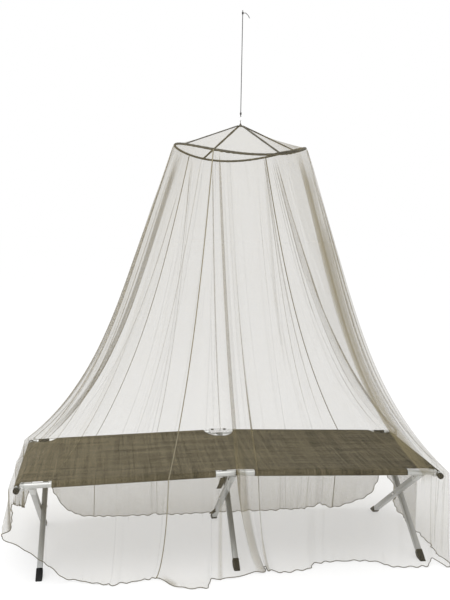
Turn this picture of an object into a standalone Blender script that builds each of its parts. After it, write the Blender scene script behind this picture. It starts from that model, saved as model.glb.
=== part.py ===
"""A bell-shaped mosquito net, hung by a cord from a sprung hoop and let down over a folding camp cot.

Metres, +Z up, floor at z = 0. The cot's length lies along X and its near side faces -Y.
"""

import math
from collections import namedtuple

import bmesh
import bpy
import numpy as np
from mathutils import Vector

SEAT = 0.0003  # left between two pieces that touch
ORIGIN = Vector((-0.006, -0.0416, 0.0))  # the middle of the whole outline, from the cot's own middle

# The cot
COT_HALF_LENGTH = 0.955  # to the axis of the bar across each end
RAIL_Y = 0.316
RAIL_END_Z = 0.432
RAIL_RISE = 0.0276  # the two halves of a rail meet this much higher than its ends
RAIL_END_X = 0.925
TUBE_RADIUS = 0.0125
END_BAR_Z = 0.420
END_BAR_HALF = 0.331
CAP_RADIUS = 0.0142
CAP_LENGTH = 0.020
FITTING_SIZE = (0.0166, 0.026, 0.030)
FITTING_DROP = 0.004  # below the rail's axis
HINGE_RADIUS = 0.0125
HINGE_LENGTH = 0.007
HINGE_PLATE_SIZE = (0.090, 0.022, 0.003)
HINGE_PLATE_X = 0.006
LEG_PAIR_X = {"left": -0.880, "middle": 0.0, "right": 0.886}
LEG_SIDE = 0.0250
LEG_OFFSET = 0.0129  # from the middle of a pair to each leg's own centre line
SLEEVE_SIDE = 0.0276  # a wider sleeve takes the upper end of each leg
SLEEVE_LENGTH = 0.090
FOOT_Y = 0.2994
FOOT_SIDE = 0.0290
FOOT_LENGTH = 0.046
BOLT_RADIUS = 0.0040
BOLT_HEAD_RADIUS = 0.0085
BOLT_HEAD_LENGTH = 0.003

# The cot's cloth
DECK_THICKNESS = 0.0020
DECK_SAG = 0.006
DECK_EDGE_Y = 0.300  # where the flat of the cloth meets its sleeves
SLEEVE_TURNS = (250, 215, 180, 145, 110)  # degrees round a rail
END_TURNS = (80, 45, 10, -25, -60)  # degrees round an end bar
BARE_RAIL = {"left": (-0.925, -0.808), "middle": (-0.093, 0.083), "right": (0.800, 0.925)}
BACK_RECESS = {"left": (-0.893, 0.066), "middle": (0.006, 0.078), "right": (0.893, 0.066)}  # centre, radius
BACK_RECESS_OUT = 0.012  # from the far rail's axis out to a recess's centre

# The net's hoop and top
HOOP_X = 0.040
HOOP_RADIUS = 0.3026
HOOP_Z = 1.891
HOOP_LIFT = 0.0263  # the hoop is drawn up at its two ends along X and down between them
HOOP_TWIST = 0.005
HOOP_TUBE = 0.0045
HOOP_STEPS = 60
APEX_Z = 2.009
APEX_RADIUS = 0.012
GORE_SEAMS = (207, 296, 382, 477)  # degrees round the hoop
GORE_SAG = 0.012
TAPE_WIDTH = 0.008
TAPE_THICKNESS = 0.0012

# The net's wall
NET_THICKNESS = 0.0020
NET_OFF_HOOP = 0.0014  # from the hoop's binding to the wall
UPPER_ROWS = 8
LOWER_ROWS = 4
SAG = 0.35  # how far the wall hangs in from a straight line
SAG_POWER = 3.0  # how late it spreads to the cot's edge along the two sides
END_POWER = 2.3  # and how much later at the two ends
SIDE_HALF = 0.650  # from here to END_HALF along the cot the sides' hang turns into the ends'
END_HALF = 0.980
EDGE_Z = 0.440  # where the wall bends over the cot's outline
PLEAT_HALF_WIDTH = 0.026
PLEAT_AT_HOOP = 0.12  # share of a pleat's depth that it has at the hoop
PLEAT_AT_EDGE = 0.55  # and where it is pressed over the cot's outline

Fold = namedtuple("Fold", "name hoop edge_x edge_y hem_x hem_y hem_z trail pleat")
# One row for each fold, going round from the near side to the right. hoop is its place on the hoop in
# degrees, edge where it crosses the cot's outline, hem where it ends, trail how much of it lies along
# the floor, and pleat how far its crest stands out.
FOLDS = [
    Fold("near seam", 239.0, -0.305, -0.339, -0.357, -0.355, 0.000, 0.5, 0.000),
    Fold("flap corner", 240.2, -0.245, -0.339, -0.255, -0.452, 0.000, 1.2, 0.000),
    Fold("flap hem", 241.2, -0.165, -0.339, -0.140, -0.468, 0.000, 1.2, 0.000),
    Fold("flap end", 242.0, -0.105, -0.339, -0.112, -0.388, 0.000, 0.6, 0.004),
    Fold("near hem, middle", 242.8, -0.050, -0.339, -0.037, -0.393, 0.000, 0.5, 0.000),
    Fold("wide fold", 243.8, 0.006, -0.339, 0.100, -0.336, 0.000, 0.3, 0.024),
    Fold("drawn-up hem", 246.0, 0.055, -0.339, 0.146, -0.300, 0.000, 0.2, 0.000),
    Fold("narrow fold", 248.0, 0.097, -0.339, 0.167, -0.335, 0.000, 0.3, 0.016),
    Fold("hem after the folds", 252.0, 0.150, -0.339, 0.200, -0.366, 0.000, 0.4, 0.000),
    Fold("near hem, right of middle", 260.0, 0.290, -0.339, 0.330, -0.345, 0.000, 0.2, 0.000),
    Fold("hem drawn in", 268.0, 0.390, -0.339, 0.409, -0.284, 0.000, 0.1, 0.006),
    Fold("near hem, right", 283.0, 0.600, -0.339, 0.634, -0.296, 0.000, 0.1, 0.000),
    Fold("near hem let out", 295.0, 0.740, -0.339, 0.749, -0.366, 0.000, 0.4, 0.006),
    Fold("near hem, far right", 309.0, 0.870, -0.343, 0.890, -0.381, 0.000, 0.5, 0.000),
    Fold("tuck under the near right cap", 322.0, 0.940, -0.354, 0.930, -0.350, 0.022, 0.0, 0.010),
    Fold("near right corner", 336.0, 0.974, -0.357, 0.990, -0.384, 0.000, 0.3, 0.016),
    Fold("tuck past the corner", 344.0, 0.984, -0.330, 0.984, -0.300, 0.006, 0.0, 0.000),
    Fold("right end, near", 349.0, 0.985, -0.160, 1.000, -0.170, 0.000, 0.2, 0.008),
    Fold("right end, middle", 353.0, 0.985, 0.010, 0.990, 0.010, 0.006, 0.1, 0.000),
    Fold("right end, far", 357.0, 0.985, 0.200, 0.985, 0.200, 0.010, 0.0, 0.008),
    Fold("far right corner, end side", 364.0, 0.983, 0.325, 0.986, 0.310, 0.045, 0.0, 0.018),
    Fold("far right corner", 373.0, 0.972, 0.356, 0.975, 0.364, 0.150, 0.0, 0.014),
    Fold("far right corner, back", 383.0, 0.948, 0.355, 0.950, 0.362, 0.225, 0.0, 0.022),
    Fold("far right gather", 394.0, 0.912, 0.347, 0.910, 0.351, 0.135, 0.0, 0.014),
    Fold("far hem coming down", 404.0, 0.840, 0.339, 0.850, 0.346, 0.060, 0.0, 0.000),
    Fold("far seam", 415.5, 0.668, 0.339, 0.650, 0.346, 0.004, 0.0, 0.000),
    Fold("lapped far hem", 420.0, 0.600, 0.339, 0.590, 0.350, 0.022, 0.0, 0.010),
    Fold("far fold, right", 429.0, 0.525, 0.339, 0.500, 0.350, 0.000, 0.1, 0.010),
    Fold("far fold", 440.0, 0.377, 0.339, 0.390, 0.348, 0.000, 0.1, 0.012),
    Fold("far fold, right of middle", 452.0, 0.197, 0.339, 0.200, 0.348, 0.000, 0.1, 0.008),
    Fold("far fold, middle", 466.0, 0.024, 0.339, 0.020, 0.350, 0.000, 0.1, 0.012),
    Fold("far wall, left of middle", 479.0, -0.150, 0.339, -0.140, 0.345, 0.000, 0.1, 0.000),
    Fold("far fold, left", 489.0, -0.319, 0.339, -0.310, 0.350, 0.000, 0.1, 0.014),
    Fold("far left seam", 493.5, -0.632, 0.339, -0.640, 0.346, 0.006, 0.0, 0.000),
    Fold("far hem going up", 501.0, -0.770, 0.339, -0.775, 0.346, 0.050, 0.0, 0.000),
    Fold("far left gather", 509.0, -0.872, 0.347, -0.850, 0.348, 0.150, 0.0, 0.016),
    Fold("far left corner, back", 518.0, -0.940, 0.355, -0.925, 0.360, 0.250, 0.0, 0.022),
    Fold("far left corner", 526.0, -0.972, 0.356, -0.975, 0.360, 0.140, 0.0, 0.012),
    Fold("far left corner, end side", 533.0, -0.983, 0.325, -0.986, 0.310, 0.090, 0.0, 0.010),
    Fold("left end, far", 540.0, -0.985, 0.180, -0.988, 0.186, 0.140, 0.0, 0.000),
    Fold("left end, middle", 546.0, -0.985, 0.000, -0.990, 0.000, 0.220, 0.0, 0.010),
    Fold("left end, near", 551.0, -0.985, -0.180, -0.990, -0.200, 0.300, 0.0, 0.000),
    Fold("tuck under the near left cap", 555.0, -0.984, -0.325, -0.974, -0.322, 0.250, 0.0, 0.000),
    Fold("near left corner", 559.0, -0.974, -0.3595, -1.010, -0.372, 0.232, 0.0, 0.010),
    Fold("near left, falling hem", 564.0, -0.935, -0.3535, -0.945, -0.364, 0.178, 0.0, 0.000),
    Fold("near left gather", 571.0, -0.830, -0.339, -0.835, -0.362, 0.100, 0.0, 0.010),
    Fold("near left hem meets the floor", 581.0, -0.700, -0.339, -0.725, -0.346, 0.006, 0.1, 0.000),
    Fold("near left fold", 590.0, -0.530, -0.339, -0.560, -0.388, 0.000, 0.5, 0.010),
    Fold("near left, before the seam", 595.0, -0.420, -0.339, -0.440, -0.376, 0.000, 0.5, 0.000),
]
SEAM_NAMES = ("near seam", "far seam", "far left seam")
PANEL_NAMES = ("wall_panel_right", "wall_panel_far", "wall_panel_left")

# The hanging
LOOP_FOOT_RADIUS = 0.0146
LOOP_FOOT_HEIGHT = 0.0030
LOOP_TAPE = 0.0014
LOOP_WIDTH = 0.0034
LOOP_HALF_OPENING = 0.0042
HOOK_BEND = 0.0055
HOOK_WIRE = 0.0012
HOOK_Z = 2.0445
HOOK_START = 205  # degrees round a bend where the wire's end stands
HOOK_SWEEP = 295
HOOK_STEPS = 14
EYE_RADIUS = 0.0050
EYE_WIRE = 0.0013
CORD_RADIUS = 0.0018
CORD_TOP_Z = 2.508
CORD_POINTS = 48
KNOT_RADIUS = 0.0042
KNOT_HALF_HEIGHT = 0.0062
STUB_TOP_Z = 2.527
TAIL_SIZE = (0.0034, 0.0013)
TAIL_PATH = ((0.0, 0.0), (0.010, 0.001), (0.018, -0.005), (0.025, -0.013), (0.029, -0.022))

COLOURS = {
    "net": ((0.36, 0.33, 0.27, 1.0), 0.9, 0.0),
    "tape": ((0.10, 0.09, 0.065, 1.0), 0.85, 0.0),
    "cot_cloth": ((0.115, 0.098, 0.068, 1.0), 0.9, 0.0),
    "aluminium": ((0.62, 0.63, 0.62, 1.0), 0.35, 1.0),
    "steel": ((0.78, 0.78, 0.78, 1.0), 0.2, 1.0),
    "black_plastic": ((0.02, 0.02, 0.02, 1.0), 0.5, 0.0),
    "cord": ((0.22, 0.22, 0.20, 1.0), 0.85, 0.0),
}


def clear_scene():
    for old in list(bpy.data.objects):
        bpy.data.objects.remove(old, do_unlink=True)


def material(name):
    found = bpy.data.materials.get(name)
    if found:
        return found
    colour, roughness, metallic = COLOURS[name]
    made = bpy.data.materials.new(name)
    made.use_nodes = True
    made.diffuse_color = colour
    surface = made.node_tree.nodes["Principled BSDF"]
    surface.inputs["Base Color"].default_value = colour
    surface.inputs["Roughness"].default_value = roughness
    surface.inputs["Metallic"].default_value = metallic
    return made


def add_object(name, bm, material_name, location=(0, 0, 0), smooth=True):
    """Makes a bmesh into a named object and frees it."""
    bmesh.ops.recalc_face_normals(bm, faces=bm.faces)
    mesh = bpy.data.meshes.new(name)
    bm.to_mesh(mesh)
    bm.free()
    if smooth:
        mesh.shade_smooth()
        mesh.set_sharp_from_angle(angle=math.radians(35))
    mesh.materials.append(material(material_name))
    obj = bpy.data.objects.new(name, mesh)
    obj.location = Vector(location) - ORIGIN
    bpy.context.scene.collection.objects.link(obj)
    return obj


def turned(along):
    """Rotation that takes +Z to a direction."""
    return Vector((0, 0, 1)).rotation_difference(Vector(along)).to_matrix().to_4x4()


def add_rod(name, start, end, radius, material_name, sides=16):
    """A straight round rod between two points."""
    start, end = Vector(start), Vector(end)
    bm = bmesh.new()
    bmesh.ops.create_cone(
        bm, cap_ends=True, segments=sides, radius1=radius, radius2=radius, depth=(end - start).length
    )
    bmesh.ops.transform(bm, matrix=turned(end - start), verts=bm.verts)
    return add_object(name, bm, material_name, (start + end) / 2)


def add_box(name, centre, size, material_name, bevel=0.0015):
    bm = bmesh.new()
    bmesh.ops.create_cube(bm, size=1.0)
    bmesh.ops.scale(bm, vec=size, verts=bm.verts)
    if bevel:
        bmesh.ops.bevel(bm, geom=bm.edges[:], offset=bevel, segments=1, affect="EDGES")
    return add_object(name, bm, material_name, centre, smooth=False)


def swept(path, radius, sides, closed, across=(0, 1, 0)):
    """A bmesh of a round wire along a path; across is a direction that the path never runs along."""
    bm = bmesh.new()
    count = len(path)
    rings = []
    for i, centre in enumerate(path):
        before = path[i - 1] if closed or i else path[i]
        after = path[(i + 1) % count] if closed or i < count - 1 else path[i]
        along = (Vector(after) - Vector(before)).normalized()
        side = along.cross(Vector(across)).normalized()
        up = side.cross(along)
        turn = [2 * math.pi * k / sides for k in range(sides)]
        rings.append(
            [bm.verts.new(Vector(centre) + radius * (math.cos(a) * side + math.sin(a) * up)) for a in turn]
        )
    for i in range(count if closed else count - 1):
        near, far = rings[i], rings[(i + 1) % count]
        for k in range(sides):
            bm.faces.new((near[k], near[(k + 1) % sides], far[(k + 1) % sides], far[k]))
    if not closed:
        bm.faces.new(rings[0][::-1])
        bm.faces.new(rings[-1])
    return bm


def facing(along, across):
    """Unit normals from two directions in a surface."""
    normal = np.cross(along, across)
    return normal / np.maximum(np.linalg.norm(normal, axis=2, keepdims=True), 1e-12)


def sheet(grid, thickness, present=None, normal=None):
    """A bmesh of a sheet of even thickness about a grid of points; present marks the cells that it has."""
    rows, columns = grid.shape[:2]
    if present is None:
        present = np.ones((rows - 1, columns - 1), bool)
    if normal is None:
        normal = facing(np.gradient(grid, axis=0), np.gradient(grid, axis=1))
    bm = bmesh.new()
    made = {}

    def corner(side, i, j):
        key = (side, i, j)
        if key not in made:
            made[key] = bm.verts.new(grid[i, j] + normal[i, j] * thickness * (side - 0.5))
        return made[key]

    def there(i, j):
        return 0 <= i < rows - 1 and 0 <= j < columns - 1 and present[i, j]

    for i in range(rows - 1):
        for j in range(columns - 1):
            if not present[i, j]:
                continue
            loop = [(i, j), (i + 1, j), (i + 1, j + 1), (i, j + 1)]
            # Both sides are split along the same diagonal, so that a twisted cell keeps its thickness.
            first = np.linalg.norm(grid[i, j] - grid[i + 1, j + 1])
            second = np.linalg.norm(grid[i + 1, j] - grid[i, j + 1])
            turned_loop = loop if first <= second else loop[1:] + loop[:1]
            for half in (turned_loop[:3], [turned_loop[0], *turned_loop[2:]]):
                bm.faces.new([corner(1, *p) for p in half])
                bm.faces.new([corner(0, *p) for p in reversed(half)])
            beyond = [(i, j - 1), (i + 1, j), (i, j + 1), (i - 1, j)]
            for k, cell in enumerate(beyond):
                if not there(*cell):
                    a, b = loop[k], loop[(k + 1) % 4]
                    bm.faces.new([corner(0, *a), corner(0, *b), corner(1, *b), corner(1, *a)])
    return bm


def cut(obj, cutters):
    """Takes each cutter away from an object, for good."""
    for i, cutter in enumerate(cutters):
        cutter.hide_render = True
        cutter.display_type = "WIRE"
        boolean = obj.modifiers.new(f"cut {i}", "BOOLEAN")
        boolean.operation = "DIFFERENCE"
        boolean.object = cutter


# ---------------------------------------------------------------- the cot


def rail_z(x):
    """Height of a rail's axis, which rises from both ends to the middle."""
    return RAIL_END_Z + RAIL_RISE * (1 - abs(x) / RAIL_END_X)


def build_rails():
    half_gap = HINGE_LENGTH / 2 + SEAT + TUBE_RADIUS * RAIL_RISE / RAIL_END_X
    for side, y in (("near", -RAIL_Y), ("far", RAIL_Y)):
        for end, sign in (("left", -1), ("right", 1)):
            inner = sign * half_gap
            outer = sign * RAIL_END_X
            ends = (inner, y, rail_z(inner)), (outer, y, rail_z(outer))
            add_rod(f"rail_{side}_{end}", *ends, TUBE_RADIUS, "aluminium")
        add_rod(
            f"rail_hinge_{side}",
            (-HINGE_LENGTH / 2, y, rail_z(0)),
            (HINGE_LENGTH / 2, y, rail_z(0)),
            HINGE_RADIUS,
            "black_plastic",
        )
    plate_z = rail_z(0) + TUBE_RADIUS + SEAT + HINGE_PLATE_SIZE[2] / 2
    add_box("rail_hinge_plate", (HINGE_PLATE_X, RAIL_Y, plate_z), HINGE_PLATE_SIZE, "steel", bevel=0.001)


def build_ends():
    for end, sign in (("left", -1), ("right", 1)):
        x = sign * COT_HALF_LENGTH
        ends = (x, -END_BAR_HALF, END_BAR_Z), (x, END_BAR_HALF, END_BAR_Z)
        add_rod(f"end_bar_{end}", *ends, TUBE_RADIUS, "aluminium")
        for side, facing in (("near", -1), ("far", 1)):
            start = facing * (END_BAR_HALF + SEAT)
            add_rod(
                f"end_cap_{side}_{end}",
                (x, start, END_BAR_Z),
                (x, start + facing * CAP_LENGTH, END_BAR_Z),
                CAP_RADIUS,
                "black_plastic",
            )
            fitting_x = sign * (RAIL_END_X + SEAT + FITTING_SIZE[0] / 2)
            add_box(
                f"rail_end_{side}_{end}",
                (fitting_x, facing * RAIL_Y, RAIL_END_Z - FITTING_DROP),
                FITTING_SIZE,
                "aluminium",
            )


def leg_line(pair, facing):
    """Foot and rail ends of the axis of the leg whose foot is on the side that facing gives."""
    x = LEG_PAIR_X[pair] - facing * LEG_OFFSET
    foot = Vector((x, facing * FOOT_Y, 0))
    rail = Vector((x, -facing * RAIL_Y, rail_z(x)))
    return foot, rail, (rail - foot).normalized()


def sloped_prism(foot, along, stations):
    """A square prism about a leg's axis.

    Each station is a distance along it, or None for level ground, and the length of a side.
    """
    across = Vector((1, 0, 0))
    third = along.cross(across)
    bm = bmesh.new()
    rings = []
    for place, side in stations:
        ring = []
        for a, b in ((-1, -1), (1, -1), (1, 1), (-1, 1)):
            corner = foot + side / 2 * (a * across + b * third)
            if place is None:
                ring.append(bm.verts.new(corner - along * (corner.z / along.z)))
            else:
                ring.append(bm.verts.new(corner + along * place))
        rings.append(ring)
    for near, far in zip(rings, rings[1:]):
        for k in range(4):
            bm.faces.new((near[k], near[(k + 1) % 4], far[(k + 1) % 4], far[k]))
    bm.faces.new(rings[0][::-1])
    bm.faces.new(rings[-1])
    return bm


def build_legs():
    for pair, x in LEG_PAIR_X.items():
        crossing = None
        legs = []
        for side, facing in (("near", -1), ("far", 1)):
            foot, rail, along = leg_line(pair, facing)
            length = (rail - foot).length
            top = length - TUBE_RADIUS - SEAT
            step = top - SLEEVE_LENGTH
            stations = [
                (FOOT_LENGTH + SEAT, LEG_SIDE),
                (step, LEG_SIDE),
                (step, SLEEVE_SIDE),
                (top, SLEEVE_SIDE),
            ]
            name = f"leg_{pair}_{side}_foot"
            leg = add_object(name, sloped_prism(foot, along, stations), "aluminium", smooth=False)
            pad = sloped_prism(foot, along, [(None, FOOT_SIDE), (FOOT_LENGTH, FOOT_SIDE)])
            add_object(f"foot_{pair}_{side}", pad, "black_plastic", smooth=False)
            crossing = foot + along * (-foot.y / along.y)
            legs.append(leg)
        reach = LEG_OFFSET + LEG_SIDE / 2
        hole = add_rod(
            f"hole_{pair}",
            (x - 2 * reach, 0, crossing.z),
            (x + 2 * reach, 0, crossing.z),
            BOLT_RADIUS + SEAT,
            "steel",
        )
        for leg in legs:
            cut(leg, [hole])
        add_bolt(pair, x, crossing.z, reach + SEAT)


def add_bolt(pair, x, z, reach):
    """The bolt that a pair of legs turns on: a shank with a head at each end."""
    stations = [
        (-reach - BOLT_HEAD_LENGTH, BOLT_HEAD_RADIUS),
        (-reach, BOLT_HEAD_RADIUS),
        (-reach, BOLT_RADIUS),
        (reach, BOLT_RADIUS),
        (reach, BOLT_HEAD_RADIUS),
        (reach + BOLT_HEAD_LENGTH, BOLT_HEAD_RADIUS),
    ]
    sides = 16
    bm = bmesh.new()
    rings = []
    for along, radius in stations:
        turn = [2 * math.pi * k / sides for k in range(sides)]
        rings.append([bm.verts.new((along, radius * math.cos(a), radius * math.sin(a))) for a in turn])
    for near, far in zip(rings, rings[1:]):
        for k in range(sides):
            bm.faces.new((near[k], near[(k + 1) % sides], far[(k + 1) % sides], far[k]))
    bm.faces.new(rings[0][::-1])
    bm.faces.new(rings[-1])
    add_object(f"leg_bolt_{pair}", bm, "steel", (x, 0, z))


def build_deck():
    """The cot's cloth, sewn round both rails and both end bars and cut away where the legs reach them."""
    step = math.radians(SLEEVE_TURNS[0] - SLEEVE_TURNS[1])
    wrap = (TUBE_RADIUS + SEAT) / math.cos(step / 2) + DECK_THICKNESS / 2
    sleeve = [math.radians(a) for a in SLEEVE_TURNS]
    near = [(-RAIL_Y + wrap * math.cos(a), wrap * math.sin(a), 0.0) for a in sleeve]
    far = [(-y, rise, sag) for y, rise, sag in reversed(near)]
    inside = (-DECK_EDGE_Y, -0.20, -0.08, 0.08, 0.20, DECK_EDGE_Y)
    flat = [(y, wrap, 1 - (y / DECK_EDGE_Y) ** 2) for y in inside]
    section = near + flat + far
    spans = BARE_RAIL.values()
    inner = sorted({x for span in spans for x in span} | {-0.55, -0.30, 0.0, 0.30, 0.55})
    stations = [(x, rail_z(x), 1 - (x / RAIL_END_X) ** 8) for x in inner]
    right_end = []
    for degrees in END_TURNS:
        turn = math.radians(degrees)
        x = COT_HALF_LENGTH + wrap * math.cos(turn)
        right_end.append((x, END_BAR_Z + wrap * math.sin(turn) - wrap, 0.0))
    left_end = [(-x, z, sag) for x, z, sag in reversed(right_end)]
    stations = left_end + stations + right_end
    rows = [[(x, y, z + rise - DECK_SAG * a * b) for y, rise, a in section] for x, z, b in stations]
    grid = np.array(rows)
    present = np.ones((len(stations) - 1, len(section) - 1), bool)
    sides = [*range(len(near)), *range(len(section) - len(far) - 1, len(section) - 1)]
    for row, (here, after) in enumerate(zip(stations, stations[1:])):
        middle = (here[0] + after[0]) / 2
        if abs(middle) > RAIL_END_X:
            present[row, sides] = False
        if any(low < middle < high for low, high in spans):
            present[row, : len(near)] = False
    deck = add_object("cot_deck", sheet(grid, DECK_THICKNESS, present), "cot_cloth")
    cutters = []
    for name, (x, radius) in BACK_RECESS.items():
        middle = (x, RAIL_Y + BACK_RECESS_OUT)
        cutters.append(add_rod(f"recess_{name}", (*middle, 0.35), (*middle, 0.55), radius, "cot_cloth", 24))
    cut(deck, cutters)


# ---------------------------------------------------------------- the net


def hoop_point(turn, radius=HOOP_RADIUS):
    """Points at a distance from the hoop's middle, at angles in radians, level with the hoop's axis."""
    turn = np.asarray(turn, float)
    z = HOOP_Z + HOOP_LIFT * np.cos(2 * turn) + HOOP_TWIST * np.sin(2 * turn)
    return np.stack([HOOP_X + radius * np.cos(turn), radius * np.sin(turn), z], -1)


def column(name):
    return np.array([getattr(fold, name) for fold in FOLDS])


def between(values, place, step=0.0):
    """A column of FOLDS read between its rows and never past them. step is added on each full turn."""
    count = len(values)
    row = np.floor(place).astype(int)
    share = place - row

    def value(i):
        return values[i % count] + step * (i // count)

    a, b, c, d = value(row - 1), value(row), value(row + 1), value(row + 2)

    def slope(before, here, after):
        one, two = here - before, after - here
        limit = 2 * np.minimum(abs(one), abs(two))
        return np.where(one * two > 0, np.sign(one) * np.minimum(limit, abs(one + two) / 2), 0.0)

    out, into = slope(a, b, c), slope(b, c, d)
    s2, s3 = share**2, share**3
    return (2 * s3 - 3 * s2 + 1) * b + (s3 - 2 * s2 + share) * out + (3 * s2 - 2 * s3) * c + (s3 - s2) * into


def plain_wall(place, drop):
    """The wall without its pleats. place counts rows of FOLDS.

    drop is 0 at the hoop, 1 at the cot's edge and 2 at the hem.
    """
    turn = np.radians(between(column("hoop"), place, 360.0))
    top = hoop_point(turn, HOOP_RADIUS + HOOP_TUBE + NET_OFF_HOOP + NET_THICKNESS / 2)
    edge_z = np.full(np.shape(place), EDGE_Z)
    edge = np.stack([between(column("edge_x"), place), between(column("edge_y"), place), edge_z], -1)
    lowest = NET_THICKNESS * 0.75
    hem_z = lowest + between(column("hem_z"), place)
    hem = np.stack([between(column("hem_x"), place), between(column("hem_y"), place), hem_z], -1)
    trail = between(column("trail"), place)[..., None]

    fall = np.clip(drop, 0, 1)[..., None]
    power = SAG_POWER + END_POWER * np.clip((abs(edge[..., :1]) - SIDE_HALF) / (END_HALF - SIDE_HALF), 0, 1)
    inward = (1 - SAG) * fall + SAG * fall**power
    upper = top + (edge - top) * np.concatenate([inward, inward, fall], -1)
    rest = np.clip(drop - 1, 0, 1)[..., None]
    out = rest ** (1.2 + trail)
    down = 1 - (1 - rest) ** (1 + trail)
    lower = edge + (hem - edge) * np.concatenate([out, out, down], -1)
    return np.where(drop[..., None] <= 1, upper, lower)


def pleats(place):
    """How far the crest of the nearest pleat stands out at a place round the wall."""
    edge = np.stack([column("edge_x"), column("edge_y")], -1)
    gap = np.linalg.norm(np.roll(edge, -1, 0) - edge, axis=1)
    nearest = np.round(place).astype(int)
    off = place - nearest
    count = len(FOLDS)
    spacing = np.where(off >= 0, gap[nearest % count], gap[(nearest - 1) % count])
    width = np.minimum(0.5, PLEAT_HALF_WIDTH / spacing)
    return column("pleat")[nearest % count] * np.clip(1 - (off / width) ** 2, 0, 1) ** 2


def wall(place, drop):
    """The wall's middle surface, with its pleats standing out level."""
    step = 0.02
    here = plain_wall(place, drop)
    tangent = plain_wall(place + step, drop) - plain_wall(place - step, drop)
    out = np.stack([tangent[..., 1], -tangent[..., 0], np.zeros(place.shape)], -1)
    out /= np.maximum(np.linalg.norm(out, axis=-1, keepdims=True), 1e-9)
    growth = np.interp(drop, [0, 0.35, 0.8, 1, 1.3, 2], [PLEAT_AT_HOOP, 0.8, 1, PLEAT_AT_EDGE, 0.9, 1.0])
    return here + out * (pleats(place) * growth)[..., None]


def wall_places(first, last):
    """Places of the solid's columns between two rows of FOLDS: crests, the feet of pleats, and between."""
    edge = np.stack([column("edge_x"), column("edge_y")], -1)
    count = len(FOLDS)
    places = []
    for row in range(first, last):
        gap = np.linalg.norm(edge[(row + 1) % count] - edge[row % count])
        foot = min(0.4, PLEAT_HALF_WIDTH / gap)
        places.append(row)
        if FOLDS[row % count].pleat:
            places.append(row + foot)
        if gap > 0.11:
            places.append(row + 0.5)
        if FOLDS[(row + 1) % count].pleat:
            places.append(row + 1 - foot)
    return np.array([*places, last], float)


def build_wall():
    names = [fold.name for fold in FOLDS]
    seams = [names.index(name) for name in SEAM_NAMES] + [len(FOLDS)]
    drops = np.concatenate([np.linspace(0, 1, UPPER_ROWS + 1), np.linspace(1, 2, LOWER_ROWS + 1)[1:]])
    for name, first, last in zip(PANEL_NAMES, seams, seams[1:]):
        place, drop = np.meshgrid(wall_places(first, last), drops)
        grid = wall(place, drop)
        down = wall(place, np.minimum(drop + 0.01, 2)) - wall(place, np.maximum(drop - 0.01, 0))
        normal = facing(down, wall(place + 0.05, drop) - wall(place - 0.05, drop))
        for end, beside in ((0, 1), (-1, -2)):
            along = grid[:, beside] - grid[:, end]
            along /= np.linalg.norm(along, axis=1, keepdims=True)
            grid[:, end] += along * SEAT / 2
        add_object(name, sheet(grid, NET_THICKNESS, normal=normal), "net")


def build_hoop():
    turns = np.linspace(0, 2 * math.pi, HOOP_STEPS, endpoint=False)
    path = [Vector(p) for p in hoop_point(turns)]
    add_object("hoop_binding", swept(path, HOOP_TUBE, 8, True, (0, 0, 1)), "tape")


def gore(turn, reach):
    """The net's top at angles round the hoop, from reach 0 at the apex to 1 at the hoop.

    It sags between its seams.
    """
    rim = hoop_point(turn, HOOP_RADIUS - HOOP_TUBE - SEAT - NET_THICKNESS / 2)
    apex_z = np.full(turn.shape, APEX_Z)
    apex = np.stack([HOOP_X + APEX_RADIUS * np.cos(turn), APEX_RADIUS * np.sin(turn), apex_z], -1)
    point = apex + (rim - apex) * reach[..., None]
    seams = np.radians(GORE_SEAMS)
    seams = np.concatenate([seams[-1:] - 2 * math.pi, seams, seams[:2] + 2 * math.pi])
    start = np.searchsorted(seams, turn, side="right") - 1
    share = (turn - seams[start]) / (seams[start + 1] - seams[start])
    point[..., 2] -= GORE_SAG * np.sin(math.pi * share) * np.sin(math.pi * np.clip(reach, 0, 1) ** 0.8)
    return point


def build_top():
    ends = [*GORE_SEAMS, GORE_SEAMS[0] + 360]
    for number, (first, last) in enumerate(zip(ends, ends[1:])):
        turn, reach = np.meshgrid(np.radians(np.linspace(first, last, 10)), np.linspace(0, 1, 6))
        grid = gore(turn, reach)
        down = gore(turn, reach + 0.02) - gore(turn, reach - 0.02)
        normal = facing(down, gore(turn + 0.04, reach) - gore(turn - 0.04, reach))
        for end, beside in ((0, 1), (-1, -2)):
            along = grid[:, beside] - grid[:, end]
            along /= np.linalg.norm(along, axis=1, keepdims=True)
            grid[:, end] += along * SEAT / 2
        add_object(f"top_gore_{number + 1}", sheet(grid, NET_THICKNESS, normal=normal), "net")
        reach = np.linspace(0.01, 0.985, 7)
        turn = np.full(7, math.radians(first))
        down = gore(turn, reach + 0.01) - gore(turn, reach - 0.01)
        side = gore(turn + 0.02, reach) - gore(turn - 0.02, reach)
        side /= np.linalg.norm(side, axis=1, keepdims=True)
        up = np.cross(down, side)
        up /= np.linalg.norm(up, axis=1, keepdims=True)
        lift = NET_THICKNESS / 2 + SEAT + TAPE_THICKNESS / 2
        across = np.array([-0.5, 0.5])[None, :, None] * TAPE_WIDTH
        tape = (gore(turn, reach) + up * lift)[:, None, :] + across * side[:, None, :]
        add_object(f"top_tape_{number + 1}", sheet(tape, TAPE_THICKNESS), "tape")


# ---------------------------------------------------------------- the hanging


def joined(name, pieces, material_name):
    """One solid of several overlapping bmeshes."""
    objects = [add_object(f"{name} {i}", bm, material_name) for i, bm in enumerate(pieces)]
    first = objects[0]
    first.name = name
    for i, other in enumerate(objects[1:]):
        other.hide_render = True
        other.display_type = "WIRE"
        union = first.modifiers.new(f"join {i}", "BOOLEAN")
        union.operation = "UNION"
        union.object = other
    return first


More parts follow.
